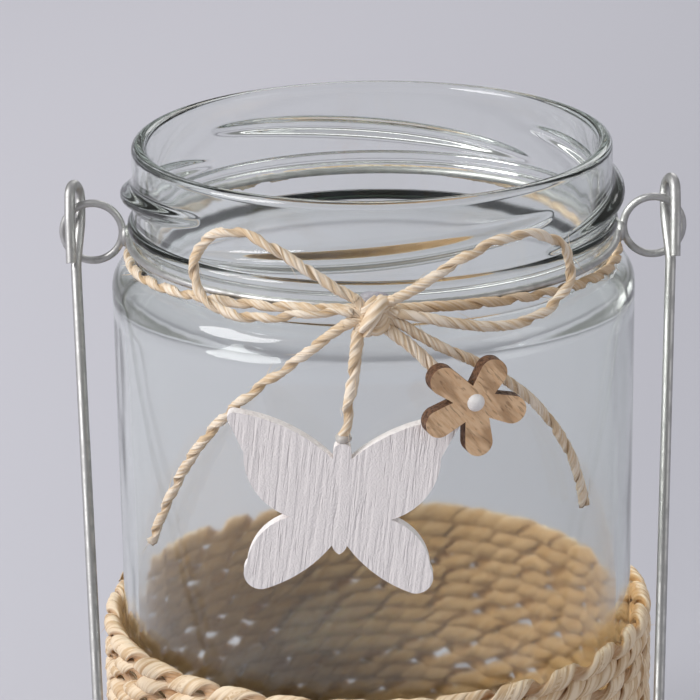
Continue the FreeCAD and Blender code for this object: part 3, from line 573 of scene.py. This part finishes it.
def line_through(name, route, steps):
    """Points along the smooth line of a cord with these control points."""
    curve = bpy.data.curves.new(f"{name}_line", "CURVE")
    curve.dimensions = "3D"
    curve.resolution_u = steps
    spline = curve.splines.new("NURBS")
    spline.points.add(len(route) - 1)
    for point, place in zip(spline.points, route):
        point.co = (*place, 1.0)
    spline.order_u = 3
    spline.use_endpoint_u = True
    line = bpy.data.objects.new(f"{name}_line", curve)
    mesh = bpy.data.meshes.new_from_object(line)
    points = np.array([vertex.co for vertex in mesh.vertices])
    bpy.data.meshes.remove(mesh)
    bpy.data.objects.remove(line)
    bpy.data.curves.remove(curve)
    return points


def unit(vectors):
    """Vectors of length one."""
    return vectors / np.linalg.norm(vectors, axis=-1, keepdims=True)


def carried_frames(points):
    """Direction of a line at each point, and two directions across it that turn as little as they can."""
    ways = unit(np.gradient(points, axis=0))
    across = np.cross(ways[0], (0.0, 0.0, 1.0))
    if np.linalg.norm(across) < 0.1:
        across = np.array((1.0, 0.0, 0.0))
    sides = np.empty_like(points)
    for index, way in enumerate(ways):
        across = across - way * across.dot(way)
        across = across / np.linalg.norm(across)
        sides[index] = across
    return ways, sides, np.cross(ways, sides)


def wobble(maker, travel, period, amount):
    """Smooth random factor along a line."""
    knots = max(4, int(travel[-1] / period) + 2)
    values = 1 + amount * maker.uniform(-1, 1, knots)
    return np.interp(travel, np.linspace(0, travel[-1], knots), values)


def wall_faces(rows, sides, base=0):
    """Faces between rings of corners that follow each other, row by row."""
    faces = []
    for row in range(rows):
        low, high = base + row * sides, base + (row + 1) * sides
        for side in range(sides):
            after = (side + 1) % sides
            faces.append((low + side, low + after, high + after, high + side))
    return faces


def line_travel(points):
    """Way covered along a line at each of its points."""
    return np.concatenate(([0.0], np.cumsum(np.linalg.norm(np.diff(points, axis=0), axis=1))))


def twist(points, frames, width, lay, seed, sides=16, ridges=5, apart=0.17, taper=0.0, splay=0.0,
          squeeze=1.0, hand=1):
    """Corners, faces and lay map of two plies twisted round a line.

    Taper and splay act on its far end, and squeeze flattens it along the first direction across the line.
    """
    plies, thinnest, fray, ridge_height, map_shift = 2, 0.12, 0.3, 0.07, 0.37
    # Half of a ply's size out from the line and across it, as shares of the cord's width
    depth, breadth = 0.47 - apart, 0.54 - 0.7 * apart
    maker = np.random.default_rng(seed)
    ways, first, second = frames
    travel = line_travel(points)
    left = travel[-1] - travel
    thin = np.clip(left / taper, thinnest, 1.0) if taper else np.ones_like(travel)
    open_out = 1 + fray * np.clip(1 - left / splay, 0.0, 1.0) if splay else np.ones_like(travel)
    spread = apart * width
    corners, faces, map_points = [], [], []
    count = len(points)
    rounds = np.pi + FULL_TURN * np.arange(sides) / sides
    for ply in range(plies):
        uneven = np.cumsum(wobble(maker, travel, lay * 0.8, 0.22) - 1)
        drift = uneven * np.gradient(travel) * FULL_TURN / lay
        phase = hand * (FULL_TURN * travel / lay + drift) + FULL_TURN * ply / plies
        out = np.cos(phase)[:, None] * first + np.sin(phase)[:, None] * second
        slope = hand * FULL_TURN * spread / lay
        run = unit(ways + np.cross(ways, out) * slope)
        across = np.cross(run, out)
        middle = points + out * (spread * thin * open_out)[:, None]
        deep = depth * width * thin * wobble(maker, travel, lay * 0.4, 0.14)
        broad = breadth * width * thin * wobble(maker, travel, lay * 0.5, 0.16)
        roam = np.cumsum(maker.normal(0.0, 0.08, count))
        ridge = 1 + ridge_height * np.cos(ridges * rounds + roam[:, None])
        rings = (middle[:, None] + out[:, None] * (deep[:, None] * ridge * np.cos(rounds))[..., None]
                 + across[:, None] * (broad[:, None] * ridge * np.sin(rounds))[..., None])
        outward = np.sum((rings - points[:, None]) * first[:, None], axis=2, keepdims=True)
        rings = rings - outward * (1 - squeeze) * first[:, None]
        base = len(corners) * count * sides
        corners.append(rings.reshape(-1, 3))
        faces += wall_faces(count - 1, sides, base)
        along = travel + ply * map_shift
        for near, far in zip(along, along[1:]):
            for side in range(sides):
                low, high = side / sides, (side + 1) / sides
                map_points += [(near, low), (near, high), (far, high), (far, low)]
        for end, order in ((0, -1), (count - 1, 1)):
            faces.append([base + end * sides + side for side in range(sides)][::order])
            map_points += [(along[end], (side + 0.5) / sides) for side in range(sides)][::order]
    return np.concatenate(corners), faces, map_points


def loose_fibres(points, frames, radius, count, seed, length, fibre, spread=math.pi):
    """Corners, faces and lay map of short fibres, of a radius of their own, that stand off a cord."""
    maker = np.random.default_rng(seed)
    ways, first, second = frames
    corners, faces, map_points = [], [], []
    steps, sides, root, narrowing, spot_shift, step_shift = 6, 3, 0.8, 0.85, 0.01, 0.0004
    for _ in range(count):
        spot = maker.integers(2, len(points) - 2)
        angle = maker.uniform(-spread, spread)
        out = math.cos(angle) * first[spot] + math.sin(angle) * second[spot]
        way = ways[spot] * maker.choice((-1, 1))
        aside = np.cross(way, out)
        reach = length * maker.uniform(0.4, 1.0)
        rise = maker.uniform(0.12, 0.55)
        bend = maker.uniform(-0.5, 0.7)
        sway = maker.uniform(-0.35, 0.35)
        start = points[spot] + out * radius * root
        base = len(corners)
        for step in range(steps + 1):
            part = step / steps
            lift = rise * part - bend * rise * part**2
            middle = start + reach * (way * part + out * lift + aside * sway * part**2)
            size = fibre * (1 - narrowing * part)
            for side in range(sides):
                turn = FULL_TURN * side / sides
                corners.append(middle + size * (math.cos(turn) * out + math.sin(turn) * aside))
        faces += wall_faces(steps, sides, base)
        for step in range(steps):
            map_points += [(spot * spot_shift + step * step_shift, 0.5)] * 4 * sides
    return np.array(corners).reshape(-1, 3), faces, map_points


def merge(parts):
    """One list of corners, faces and lay map from several."""
    corners, faces, map_points, base = [], [], [], 0
    for more_corners, more_faces, more_map in parts:
        corners.append(more_corners)
        faces += [tuple(base + index for index in face) for face in more_faces]
        map_points += more_map
        base += len(more_corners)
    return np.concatenate(corners), faces, map_points


def add_cords(name, parts, material, body, slot, *nodes):
    """One piece from plies and loose fibres."""
    corners, faces, map_points = merge(parts)
    return finish_piece(add_mesh(name, corners, faces, material, map_points), body, slot, *nodes)


def pebble(middle, reach, swell, turn=0.0):
    """Corners and faces of an uneven lump of these half sizes, turned about the upright."""
    rows, sides = 14, 28
    tilt = (math.pi * (0.01 + 0.98 * np.arange(rows + 1) / rows))[:, None]
    around = (FULL_TURN * np.arange(sides) / sides)[None, :]
    size = 1 + swell * (np.sin(3 * around + 1.0) * np.sin(tilt) + 0.6 * np.cos(2 * tilt + 2 * around))
    x = reach[0] * size * np.sin(tilt) * np.cos(around)
    y = reach[1] * size * np.sin(tilt) * np.sin(around)
    z = reach[2] * size * np.cos(tilt)
    spots = (x * math.cos(turn) - y * math.sin(turn), x * math.sin(turn) + y * math.cos(turn), z)
    corners = np.stack(spots, axis=-1).reshape(-1, 3) + np.array(middle)
    faces = [face[:1] + face[:0:-1] for face in wall_faces(rows, sides)]
    faces.append(tuple(range(sides)))
    faces.append(tuple(range(rows * sides + sides - 1, rows * sides - 1, -1)))
    return corners, faces


def ring_frames(points):
    """Directions along, out of and up from a line that runs round the jar's axis."""
    ways = unit(np.gradient(points, axis=0))
    radial = points.copy()
    radial[:, 2] = 0.0
    radial = unit(radial)
    radial = unit(radial - ways * np.sum(radial * ways, axis=1, keepdims=True))
    return ways, radial, np.cross(ways, radial)


def arc_points(start, end, radius, side, count):
    """Points after start along an arc of up to half a circle; side 1 bulges to the right of the way."""
    start, end = np.array(start), np.array(end)
    way = end - start
    chord = np.linalg.norm(way)
    right = np.array((way[1], -way[0])) / chord
    rise = math.sqrt(max(radius**2 - chord**2 / 4, 0.0))
    centre = (start + end) / 2 - right * side * rise
    first = math.atan2(*(start - centre)[::-1])
    last = math.atan2(*(end - centre)[::-1])
    sweep = side * (side * (last - first) % FULL_TURN)
    return [tuple(centre + radius * np.array((math.cos(turn), math.sin(turn))))
            for turn in (first + sweep * step / count for step in range(1, count + 1))]


def run_points(start, end, count):
    """Points after start along a straight run."""
    start, end = np.array(start), np.array(end)
    return [tuple(start + (end - start) * step / count) for step in range(1, count + 1)]


def outline(start, *legs):
    """Points of a profile; a straight leg is an end and a count, and a bent one adds a radius and a side."""
    spots = [start]
    for end, count, *bend in legs:
        spots += arc_points(spots[-1], end, *bend, count) if bend else run_points(spots[-1], end, count)
    return spots


def spin(profile, segments):
    """Corners and faces of a profile turned about the axis; both of its ends are on the axis."""
    turns = FULL_TURN * np.arange(segments) / segments
    body = np.array(profile[1:-1])
    corners = np.stack((body[:, :1] * np.cos(turns), body[:, :1] * np.sin(turns),
                        np.repeat(body[:, 1:], segments, axis=1)), axis=-1).reshape(-1, 3)
    faces = wall_faces(len(body) - 1, segments)
    first, last = len(corners), len(corners) + 1
    corners = np.concatenate((corners, [(0.0, 0.0, profile[0][1]), (0.0, 0.0, profile[-1][1])]))
    top = (len(body) - 1) * segments
    for step in range(segments):
        after = (step + 1) % segments
        faces.append((first, after, step))
        faces.append((last, top + step, top + after))
    return corners, faces


class LANTERN_OT_stage(bpy.types.Operator):
    """Add the camera, the floor and the light"""

    bl_idname = "lantern.stage"
    bl_label = "Stage"

    def execute(self, context):
        stage = context.scene.lantern_stage
        self.add_camera(context, stage)
        self.add_floor(stage)
        self.light_world(context, stage)
        self.add_lamp(context, "key_lamp", (-0.98, -0.42, 0.82), 0.80, stage.key_power)
        self.add_lamp(context, "fill_lamp", (0.95, -0.45, 0.50), 0.60, stage.fill_power)
        self.add_lamp(context, "back_lamp", (0.30, 0.95, 0.80), 0.80, stage.back_power)
        context.scene.view_settings.view_transform = "Standard"
        return {"FINISHED"}

    def add_camera(self, context, stage):
        """Camera at the angle of the photograph."""
        pitch, yaw, roll = stage.camera_pitch, stage.camera_yaw, stage.camera_roll
        ahead = Vector((math.sin(yaw) * math.cos(pitch), math.cos(yaw) * math.cos(pitch), -math.sin(pitch)))
        level = ahead.cross(Vector((0.0, 0.0, 1.0))).normalized()
        upright = level.cross(ahead)
        right = math.cos(roll) * level + math.sin(roll) * upright
        up = math.cos(roll) * upright - math.sin(roll) * level
        lens = bpy.data.cameras.new("photo_camera")
        lens.lens = stage.camera_lens
        lens.sensor_width = 36.0
        lens.clip_start = 0.01
        camera = bpy.data.objects.new("photo_camera", lens)
        turn = Matrix((right, up, -ahead)).transposed()
        camera.matrix_world = Matrix.Translation(stage.camera_place) @ turn.to_4x4()
        context.scene.collection.objects.link(camera)
        context.scene.camera = camera

    def add_floor(self, stage):
        """Wide floor with painted shade towards the front right."""
        material, tree, shader = new_material("floor", Roughness=0.9, Specular_IOR_Level=0.1)
        spot = node(tree, "SeparateXYZ", Vector=node(tree, "TexCoord").outputs["Object"]).outputs
        # Painted shade: share of the shaded floor colour, growing towards the front right.
        nearer = calculate(tree, "SUBTRACT", spot["X"], scaled(tree, spot["Y"], 0.25))
        share = spread_over(tree, nearer, -0.30, 0.12, 0.0, 1.0)
        feed(tree, shader.inputs, Base_Color=blend_colours(tree, share, stage.floor, stage.floor_shade))
        half = 3.0
        corners = [(half * x, half * y, 0.0) for x, y in ((-1, -1), (1, -1), (1, 1), (-1, 1))]
        add_mesh("floor", corners, [(0, 1, 2, 3)], material, smooth=False)

    def light_world(self, context, stage):
        """Even light from all sides, the plain background that is seen and the ring that is reflected."""
        world = bpy.data.worlds.new("studio")
        world.use_nodes = True
        tree = world.node_tree
        tree.nodes.clear()
        path = node(tree, "LightPath").outputs
        mirrored = calculate(tree, "MAXIMUM", path["Is Glossy Ray"], path["Is Transmission Ray"])
        seen = calculate(tree, "MAXIMUM", path["Is Camera Ray"], mirrored)
        height = node(tree, "SeparateXYZ", Vector=node(tree, "TexCoord").outputs["Generated"]).outputs["Z"]
        flag = scaled(tree, spread_over(tree, height, 0.06, 0.22, 0.0, 1.0),
                      spread_over(tree, height, 0.55, 0.95, 1.0, 0.25))
        through = scaled(tree, flag, calculate(tree, "SUBTRACT", 1.0, path["Is Camera Ray"]))
        shown = blend_colours(tree, scaled(tree, through, 0.8), stage.background, stage.flag)
        colour = blend_colours(tree, seen, stage.ambient, shown)
        light = node(tree, "Background", Color=colour, Strength=1.0)
        node(tree, "OutputWorld", Surface=light.outputs["Background"])
        context.scene.world = world

    def add_lamp(self, context, name, place, size, power):
        """Round soft lamp that faces the lantern."""
        light = bpy.data.lights.new(name, "AREA")
        light.shape = "DISK"
        light.size = size
        light.energy = power
        lamp = bpy.data.objects.new(name, light)
        middle = Vector((0.0, 0.0, 0.08))
        aim = middle - Vector(place)
        lamp.matrix_world = Matrix.Translation(place) @ aim.to_track_quat("-Z", "Y").to_matrix().to_4x4()
        context.scene.collection.objects.link(lamp)


class LANTERN_OT_bow(bpy.types.Operator):
    """Add the loops and tails of the bow, with their loose fibres"""

    bl_idname = "lantern.bow"
    bl_label = "Bow"

    def execute(self, context):
        twine = context.scene.lantern_twine
        material, _, _ = twine_material("bow_twine", twine)
        hairs = []
        cords = (("bow_loop_left", BOW_LOOP_LEFT, "object", "loose"),
                 ("bow_loop_right", BOW_LOOP_RIGHT, "object", "loose"),
                 ("bow_tail_left", BOW_TAIL_LEFT, "bare", "hanging"),
                 ("bow_tail_right", BOW_TAIL_RIGHT, "bare", "hanging"))
        for seed, (name, route, far_end, lay) in enumerate(cords, start=11):
            points = line_through(name, route, steps=14)
            frames = carried_frames(points)
            splay = 0.003 if far_end == "bare" else 0.0
            plies = twist(points, frames, twine.diameter * TWINE_SWELL, twine.lay, seed, splay=splay)
            piece = add_cords(f"{name}_twine", [plies], material, "jar", "twine", name)
            hairs.append(loose_fibres(
                points, frames, twine.diameter / 2, twine.hairs, seed + 50, length=0.0045, fibre=FIBRE))
        add_cords("bow_loose_fibres", hairs, material, "jar", "twine")
        return {"FINISHED"}


class LANTERN_OT_knot(bpy.types.Operator):
    """Add the knot of the bow and the glue on it"""

    bl_idname = "lantern.knot"
    bl_label = "Knot and glue"

    def execute(self, context):
        twine = context.scene.lantern_twine
        material, _, _ = twine_material("knot_twine", twine)
        low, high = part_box("bow_knot")
        middle = np.array((low + high) / 2)
        strand_lay = 0.016
        parts = []
        for seed, (width, strand) in enumerate(KNOT_STRANDS, start=31):
            route = [tuple(middle + np.array(spot)) for spot in strand]
            points = line_through(f"knot_strand_{seed}", route, steps=10)
            parts.append(twist(points, carried_frames(points), width, strand_lay, seed))
        left = (BOW_LOOP_LEFT, BOW_LOOP_LEFT[::-1], BOW_TAIL_LEFT, BUTTERFLY_STRING)
        right = (BOW_LOOP_RIGHT, BOW_LOOP_RIGHT[::-1], BOW_TAIL_RIGHT, FLOWER_STRING)
        leads = [(KNOT_LEFT, route) for route in left] + [(KNOT_RIGHT, route) for route in right]
        for seed, (side, route) in enumerate(leads, start=91):
            parts.append(self.lead(middle + np.array(side), route, twine, seed))
        add_cords("bow_knot_twine", parts, material, "jar", "twine", "bow_knot")
        low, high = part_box("glue_dot")
        corners, faces = pebble((low + high) / 2, (high - low) / 2, swell=0.10)
        glue = glue_material("knot_glue", (0.70, 0.68, 0.73), (0.58, 0.56, 0.62), clear=0.45)
        finish_piece(add_mesh("glue_dab", corners, faces, glue), "jar", "glue", "glue_dot")
        return {"FINISHED"}

    def lead(self, start, route, twine, seed):
        """Twine from inside the knot to a little past the first point of a cord."""
        before, past = 0.0009, 0.0006
        first, second = np.array(route[0]), np.array(route[1])
        way = unit(second - first)
        route = [tuple(start), tuple(first - way * before), tuple(first + way * past)]
        points = line_through(f"lead_{seed}", route, steps=12)
        return twist(points, carried_frames(points), twine.diameter * TWINE_SWELL, twine.lay, seed)


class LANTERN_OT_neck_twine(bpy.types.Operator):
    """Add the twine round the neck"""

    bl_idname = "lantern.neck_twine"
    bl_label = "Neck twine"

    def execute(self, context):
        twine = context.scene.lantern_twine
        material, tree, shader = twine_material("neck_twine", twine)
        # Painted shade on the right of the knot.
        self.paint_right_shade(tree, shader, twine)
        low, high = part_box("neck_twine")
        inset, steps = 0.0008, 900
        side_ring, front_ring = high.x - inset, high.y - inset
        low_z, high_z = low.z + inset, high.z - inset
        turn = np.linspace(0, FULL_TURN, steps + 1)
        front_share = np.sin(turn)**2
        ring = side_ring + (front_ring - side_ring) * front_share
        height = low_z + (high_z - low_z) * front_share
        points = np.stack((ring * np.cos(turn), ring * np.sin(turn), height), 1)
        frames = ring_frames(points)
        plies = twist(points, frames, twine.diameter * TWINE_SWELL, twine.lay, seed=41)
        fibres = loose_fibres(
            points, frames, twine.diameter / 2, count=30, seed=42, length=0.004, fibre=FIBRE, spread=1.2)
        add_cords("neck_twine_plies", [plies, fibres], material, "jar", "twine", "neck_twine")
        return {"FINISHED"}

    def paint_right_shade(self, tree, shader, twine):
        """Fade to painted shade on the right of the knot, where less light falls."""
        place = node(tree, "TexCoord").outputs["Object"]
        across = node(tree, "SeparateXYZ", Vector=place).outputs["X"]
        fade_colour(tree, shader, spread_over(tree, across, 0.002, 0.012, 0.0, 0.6), twine.painted_right_shade)


class LANTERN_OT_strings(bpy.types.Operator):
    """Add the strings that the pendants hang on, and their glue"""

    bl_idname = "lantern.strings"
    bl_label = "Pendant strings"

    def execute(self, context):
        twine = context.scene.lantern_twine
        material, _, _ = twine_material("string_twine", twine)
        strings = (("butterfly_string", BUTTERFLY_STRING, "butterfly_cord"),
                   ("flower_string", FLOWER_STRING, "flower"))
        for seed, (name, route, body) in enumerate(strings, start=61):
            points = line_through(name, route, steps=16)
            frames = carried_frames(points)
            plies = twist(points, frames, twine.string_width, twine.lay * 1.1, seed)
            fibres = loose_fibres(points, frames, twine.string_width / 2, count=6, seed=seed + 5,
                                  length=0.003, fibre=FIBRE)
            add_cords(f"{name}_twine", [plies, fibres], material, body, "twine", name)
        glue = glue_material("pendant_glue", (0.78, 0.75, 0.72), (0.66, 0.62, 0.58), clear=0.4)
        dabs = (("butterfly_glue", "butterfly", (0.0014, 0.0013, 0.0009), 0.0),
                ("flower_glue", "flower", (0.0016, 0.0005, 0.0016), FLOWER_FACING))
        for name, body, reach, turn in dabs:
            low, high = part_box(name)
            corners, faces = pebble((low + high) / 2, reach, swell=0.08, turn=turn)
            finish_piece(add_mesh(f"{name}_dab", corners, faces, glue), body, "glue", name)
        return {"FINISHED"}


class LANTERN_OT_rope(bpy.types.Operator):
    """Add the rope wound round the jar"""

    bl_idname = "lantern.rope"
    bl_label = "Rope skirt"

    def execute(self, context):
        rope = context.scene.lantern_rope
        material, tree, shader = straw_material(
            "straw_rope", (rope.pale, rope.tan, rope.shade), fine=(130.0, 10.0, 1.0),
            broad=(190.0, 1.3, 1.0))
        # Painted shade on the side of the rope against the glass.
        self.paint_inner_shade(tree, shader, rope)
        low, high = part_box("rope_wrap")
        solid, per_turn = 0.0025, 400
        ring = high.x - solid / 2
        margin = solid / 2 + (rope.width - solid) / 3
        start, end = low.z + margin, high.z - margin
        turns = np.linspace(0.0, rope.turns, rope.turns * per_turn + 1)
        angle = rope.end_angle + FULL_TURN * (turns - rope.turns)
        height = start + (end - start) * turns / rope.turns
        points = np.stack((ring * np.cos(angle), ring * np.sin(angle), height), 1)
        frames = ring_frames(points)
        plies = twist(points, frames, rope.width, rope.lay, seed=71, sides=12, ridges=4, apart=0.22,
                      taper=0.008, squeeze=rope.squeeze, hand=-1)
        fibres = loose_fibres(points, frames, rope.width * 0.36, rope.hairs, seed=72, length=0.005,
                              fibre=0.00008, spread=1.2)
        add_cords("rope_skirt", [plies, fibres], material, "jar", "straw_rope", "rope_wrap")
        return {"FINISHED"}

    def paint_inner_shade(self, tree, shader, rope):
        """Fade to painted shade on the side against the glass."""
        texture = node(tree, "TexCoord").outputs
        spot = node(tree, "SeparateXYZ", Vector=texture["Object"]).outputs
        outward = node(tree, "CombineXYZ", X=spot["X"], Y=spot["Y"]).outputs["Vector"]
        outward = node(tree, "VectorMath", {"operation": "NORMALIZE"}, Vector=outward).outputs["Vector"]
        facing = dot_product(tree, outward, texture["Normal"])
        fade_colour(tree, shader, spread_over(tree, facing, -0.75, 0.05, 0.8, 0.0), rope.inner)


class LANTERN_OT_jar(bpy.types.Operator):
    """Add the blown jar with its moulded thread lugs"""

    bl_idname = "lantern.jar"
    bl_label = "Glass jar"

    def execute(self, context):
        glass = context.scene.lantern_glass
        corners, faces = spin(self.profile(glass), segments=540)
        corners = self.raise_lugs(glass, corners)
        piece = add_mesh("jar_glass", corners, faces, glass_material(glass))
        finish_piece(piece, "jar", "clear_glass", "glass_jar")
        return {"FINISHED"}

    def profile(self, glass):
        """Outline of the glass from the hollow under the foot, up outside and down inside."""
        rim, body, wall = glass.height, glass.body_radius, glass.wall
        hollow, hollow_bend, stand, heel, taper = 0.0025, 0.2, 0.0315, 0.005, 0.0007
        bottom, cove = 0.005, 0.004
        shoulder, shoulder_rise, outer_bend, inner_bend = 0.1152, 0.0047, 0.0048, 0.0061
        bead, bead_half, bead_bend, lip = 0.126, 0.0012, 0.00122, 0.0011
        foot, neck, neck_foot = body - taper, body - NECK_STEP, shoulder + shoulder_rise
        bore, inner = neck - wall, body - wall
        return outline(
            (0.0, hollow),
            ((stand, 0.0), 24, hollow_bend, 1),
            ((foot - heel, 0.0), 4),
            ((foot, heel), 12, heel, 1),
            ((body, shoulder), 40),
            ((neck, neck_foot), 16, outer_bend, 1),
            ((neck, bead - bead_half), 14),
            ((neck, bead + bead_half), 12, bead_bend, 1),
            ((neck, rim - lip), 70),
            ((neck - lip, rim), 10, lip, 1),
            ((bore + lip, rim), 2),
            ((bore, rim - lip), 10, lip, 1),
            ((bore, neck_foot - wall), 30),
            ((inner, shoulder - wall), 16, inner_bend, -1),
            ((foot - wall, bottom + cove), 40),
            ((foot - wall - cove, bottom), 10, cove, -1),
            ((0.001, bottom), 20),
            ((0.0, bottom), 1),
        )

    def raise_lugs(self, glass, corners):
        """Push the outside of the neck out along each lug."""
        neck, near, bead_top, below_rim = glass.body_radius - NECK_STEP, 0.0002, 0.1272, 0.0088
        distance = np.hypot(corners[:, 0], corners[:, 1])
        turn = np.arctan2(corners[:, 1], corners[:, 0])
        outside = (np.abs(distance - neck) < near) & (corners[:, 2] > bead_top)
        push = np.zeros(len(corners))
        for number in range(glass.lug_count):
            along = (turn - FULL_TURN * number / glass.lug_count + math.pi) % FULL_TURN - math.pi
            middle = glass.height - below_rim + glass.lug_rise * along / glass.lug_span
            share = np.clip(1 - (along / (glass.lug_span / 2))**2, 0.0, 1.0)
            half_width = 0.0004 + 0.0010 * np.sqrt(share)
            above = np.abs(corners[:, 2] - middle) / half_width
            push = np.maximum(push, glass.lug_height * np.exp(-above**2.6) * share**0.9)
        scale = np.where(outside, (distance + push) / np.maximum(distance, 1e-6), 1.0)
        corners[:, :2] *= scale[:, None]
        return corners


class LANTERN_OT_wires(bpy.types.Operator):
    """Finish the bail and the neck wire"""

    bl_idname = "lantern.wires"
    bl_label = "Wires"

    def execute(self, context):
        material = wire_material(context.scene.lantern_wire)
        for name in ("bail_handle", "neck_wire"):
            dress(name, material)
        return {"FINISHED"}


class LANTERN_OT_butterfly(bpy.types.Operator):
    """Finish the butterfly"""

    bl_idname = "lantern.butterfly"
    bl_label = "Butterfly"

    def execute(self, context):
        pendants = context.scene.lantern_pendants
        dress("butterfly", painted_material(pendants, BUTTERFLY_GRAIN), pendants.edge)
        return {"FINISHED"}


class LANTERN_OT_flower(bpy.types.Operator):
    """Finish the flower and its white dot"""

    bl_idname = "lantern.flower"
    bl_label = "Flower"

    def execute(self, context):
        pendants = context.scene.lantern_pendants
        dress("flower", bare_wood_material(pendants, FLOWER_FACING), pendants.edge)
        dress("flower_centre", dot_material())
        return {"FINISHED"}


class LANTERN_OT_tealight(bpy.types.Operator):
    """Add the tea light: fluted cup, wax and wick"""

    bl_idname = "lantern.tealight"
    bl_label = "Tea light"

    def execute(self, context):
        candle = context.scene.lantern_candle
        dress("tealight_wick_base", foil_material("wick_base_tin", (0.60, 0.60, 0.62), (0.46, 0.46, 0.48)))
        self.add_cup(candle)
        self.add_wax(candle)
        self.add_wick(candle)
        return {"FINISHED"}

    def add_cup(self, candle):
        """Pressed cup with flutes in its wall and a rolled rim."""
        low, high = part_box("tealight_cup")
        radius, foot, rim = high.x, low.z, high.z
        sheet, roll, bend, inset, flute, fade = 0.0004, 0.0004, 0.0008, 0.0012, 0.00022, 0.002
        side, edge = radius - roll, radius - inset
        profile = outline(
            (0.0, foot),
            ((edge, foot), 12),
            ((side, foot + bend), 5, bend, 1),
            ((side, rim - 2 * roll), 24),
            ((side, rim), 8, roll, 1),
            ((side - sheet, rim), 2),
            ((side - sheet, foot + inset), 24),
            ((edge - sheet, foot + sheet), 5, bend, -1),
            ((0.001, foot + sheet), 12),
            ((0.0, foot + sheet), 1),
        )
        corners, faces = spin(profile, candle.flutes * 8)
        distance = np.hypot(corners[:, 0], corners[:, 1])
        turn = np.arctan2(corners[:, 1], corners[:, 0])
        height = corners[:, 2]
        wall = np.clip((height - foot - fade / 2) / fade, 0, 1) * np.clip((rim - fade - height) / fade, 0, 1)
        dent = flute * wall * (np.cos(candle.flutes * turn) - 1) / 2 * (distance > edge)
        corners[:, :2] *= (1 + dent / np.maximum(distance, 1e-6))[:, None]
        material = foil_material("cup_foil", candle.foil, (0.62, 0.62, 0.64))
        piece = add_mesh("fluted_cup", corners, faces, material)
        finish_piece(piece, "tealight", "thin_aluminium", "tealight_cup")

    def add_wax(self, candle):
        """Wax that climbs a little at the cup and round the wick."""
        low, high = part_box("tealight_wax")
        gap, lip, dip, steps = 0.0003, 0.0002, 0.0007, 41
        cup_rise, cup_reach, wick_rise, wick_reach = 0.0006, 0.0009, 0.0009, 0.0013
        ripple, ripple_rate = 0.00005, 2400
        radius, top = high.x - gap, high.z
        profile = outline((0.0, low.z), ((radius, low.z), 8), ((radius, top - lip), 10))
        for step in range(1, steps):
            place = radius * (1 - step / (steps + 1))
            at_cup = cup_rise * math.exp(-(radius - place) / cup_reach)
            at_wick = wick_rise * math.exp(-place / wick_reach)
            profile.append((place, top - dip + (at_cup + at_wick) + ripple * math.sin(place * ripple_rate)))
        corners, faces = spin(profile + [(0.0, top + lip)], segments=120)
        piece = add_mesh("candle_wax", corners, faces, wax_material(candle))
        finish_piece(piece, "tealight", "wax", "tealight_wax")

    def add_wick(self, candle):
        """Twisted cotton with a bent tip."""
        low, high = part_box("tealight_wick")
        route = [(0.0, 0.0, low.z), (0.0, 0.0, low.z + 0.006), (0.0, 0.0, high.z - 0.004),
                 (0.0002, -0.0001, high.z - 0.002), (0.0009, -0.0003, high.z - 0.0004)]
        points = line_through("wick", route, steps=16)
        plies = twist(points, carried_frames(points), width=0.0015, lay=0.0032, seed=81)
        # The wick's third colour is painted shade between the plies and in the grooves between fibres.
        material, _, _ = straw_material(
            "wick_cotton", (candle.cotton, (0.70, 0.65, 0.56), (0.45, 0.40, 0.33)), fine=(500.0, 7.0, 1.0),
            broad=(250.0, 2.0, 1.0), shine=0.2, bump=(0.8, 0.0002))
        add_cords("twisted_wick", [plies], material, "tealight", "cotton_wick", "tealight_wick")


PROPERTY_GROUPS = {
    "lantern_stage": LanternStage,
    "lantern_twine": LanternTwine,
    "lantern_rope": LanternRope,
    "lantern_glass": LanternGlass,
    "lantern_wire": LanternWire,
    "lantern_pendants": LanternPendants,
    "lantern_candle": LanternCandle,
}

OPERATORS = (
    LANTERN_OT_stage, LANTERN_OT_bow, LANTERN_OT_knot, LANTERN_OT_neck_twine, LANTERN_OT_strings,
    LANTERN_OT_rope, LANTERN_OT_jar, LANTERN_OT_wires, LANTERN_OT_butterfly, LANTERN_OT_flower,
    LANTERN_OT_tealight,
)


class LANTERN_PT_panel(bpy.types.Panel):
    """Sizes, colours and steps of the lantern"""

    bl_label = "Mason jar lantern"
    bl_idname = "LANTERN_PT_panel"
    bl_space_type = "VIEW_3D"
    bl_region_type = "UI"
    bl_category = "Lantern"

    def draw(self, context):
        for operator in OPERATORS:
            self.layout.operator(operator.bl_idname)
        for name, group in PROPERTY_GROUPS.items():
            box = self.layout.box()
            box.label(text=group.__doc__)
            settings = getattr(context.scene, name)
            for key in group.__annotations__:
                box.prop(settings, key)


def register():
    for group in PROPERTY_GROUPS.values():
        bpy.utils.register_class(group)
    for name, group in PROPERTY_GROUPS.items():
        setattr(bpy.types.Scene, name, PointerProperty(type=group))
    for operator in OPERATORS:
        bpy.utils.register_class(operator)
    bpy.utils.register_class(LANTERN_PT_panel)


def unregister():
    bpy.utils.unregister_class(LANTERN_PT_panel)
    for operator in reversed(OPERATORS):
        bpy.utils.unregister_class(operator)
    for name in PROPERTY_GROUPS:
        delattr(bpy.types.Scene, name)
    for group in reversed(PROPERTY_GROUPS.values()):
        bpy.utils.unregister_class(group)


def main():
    """Build the lantern step by step."""
    register()
    for operator in OPERATORS:
        family, name = operator.bl_idname.split(".")
        getattr(getattr(bpy.ops, family), name)()


if __name__ == "__main__":
    main()
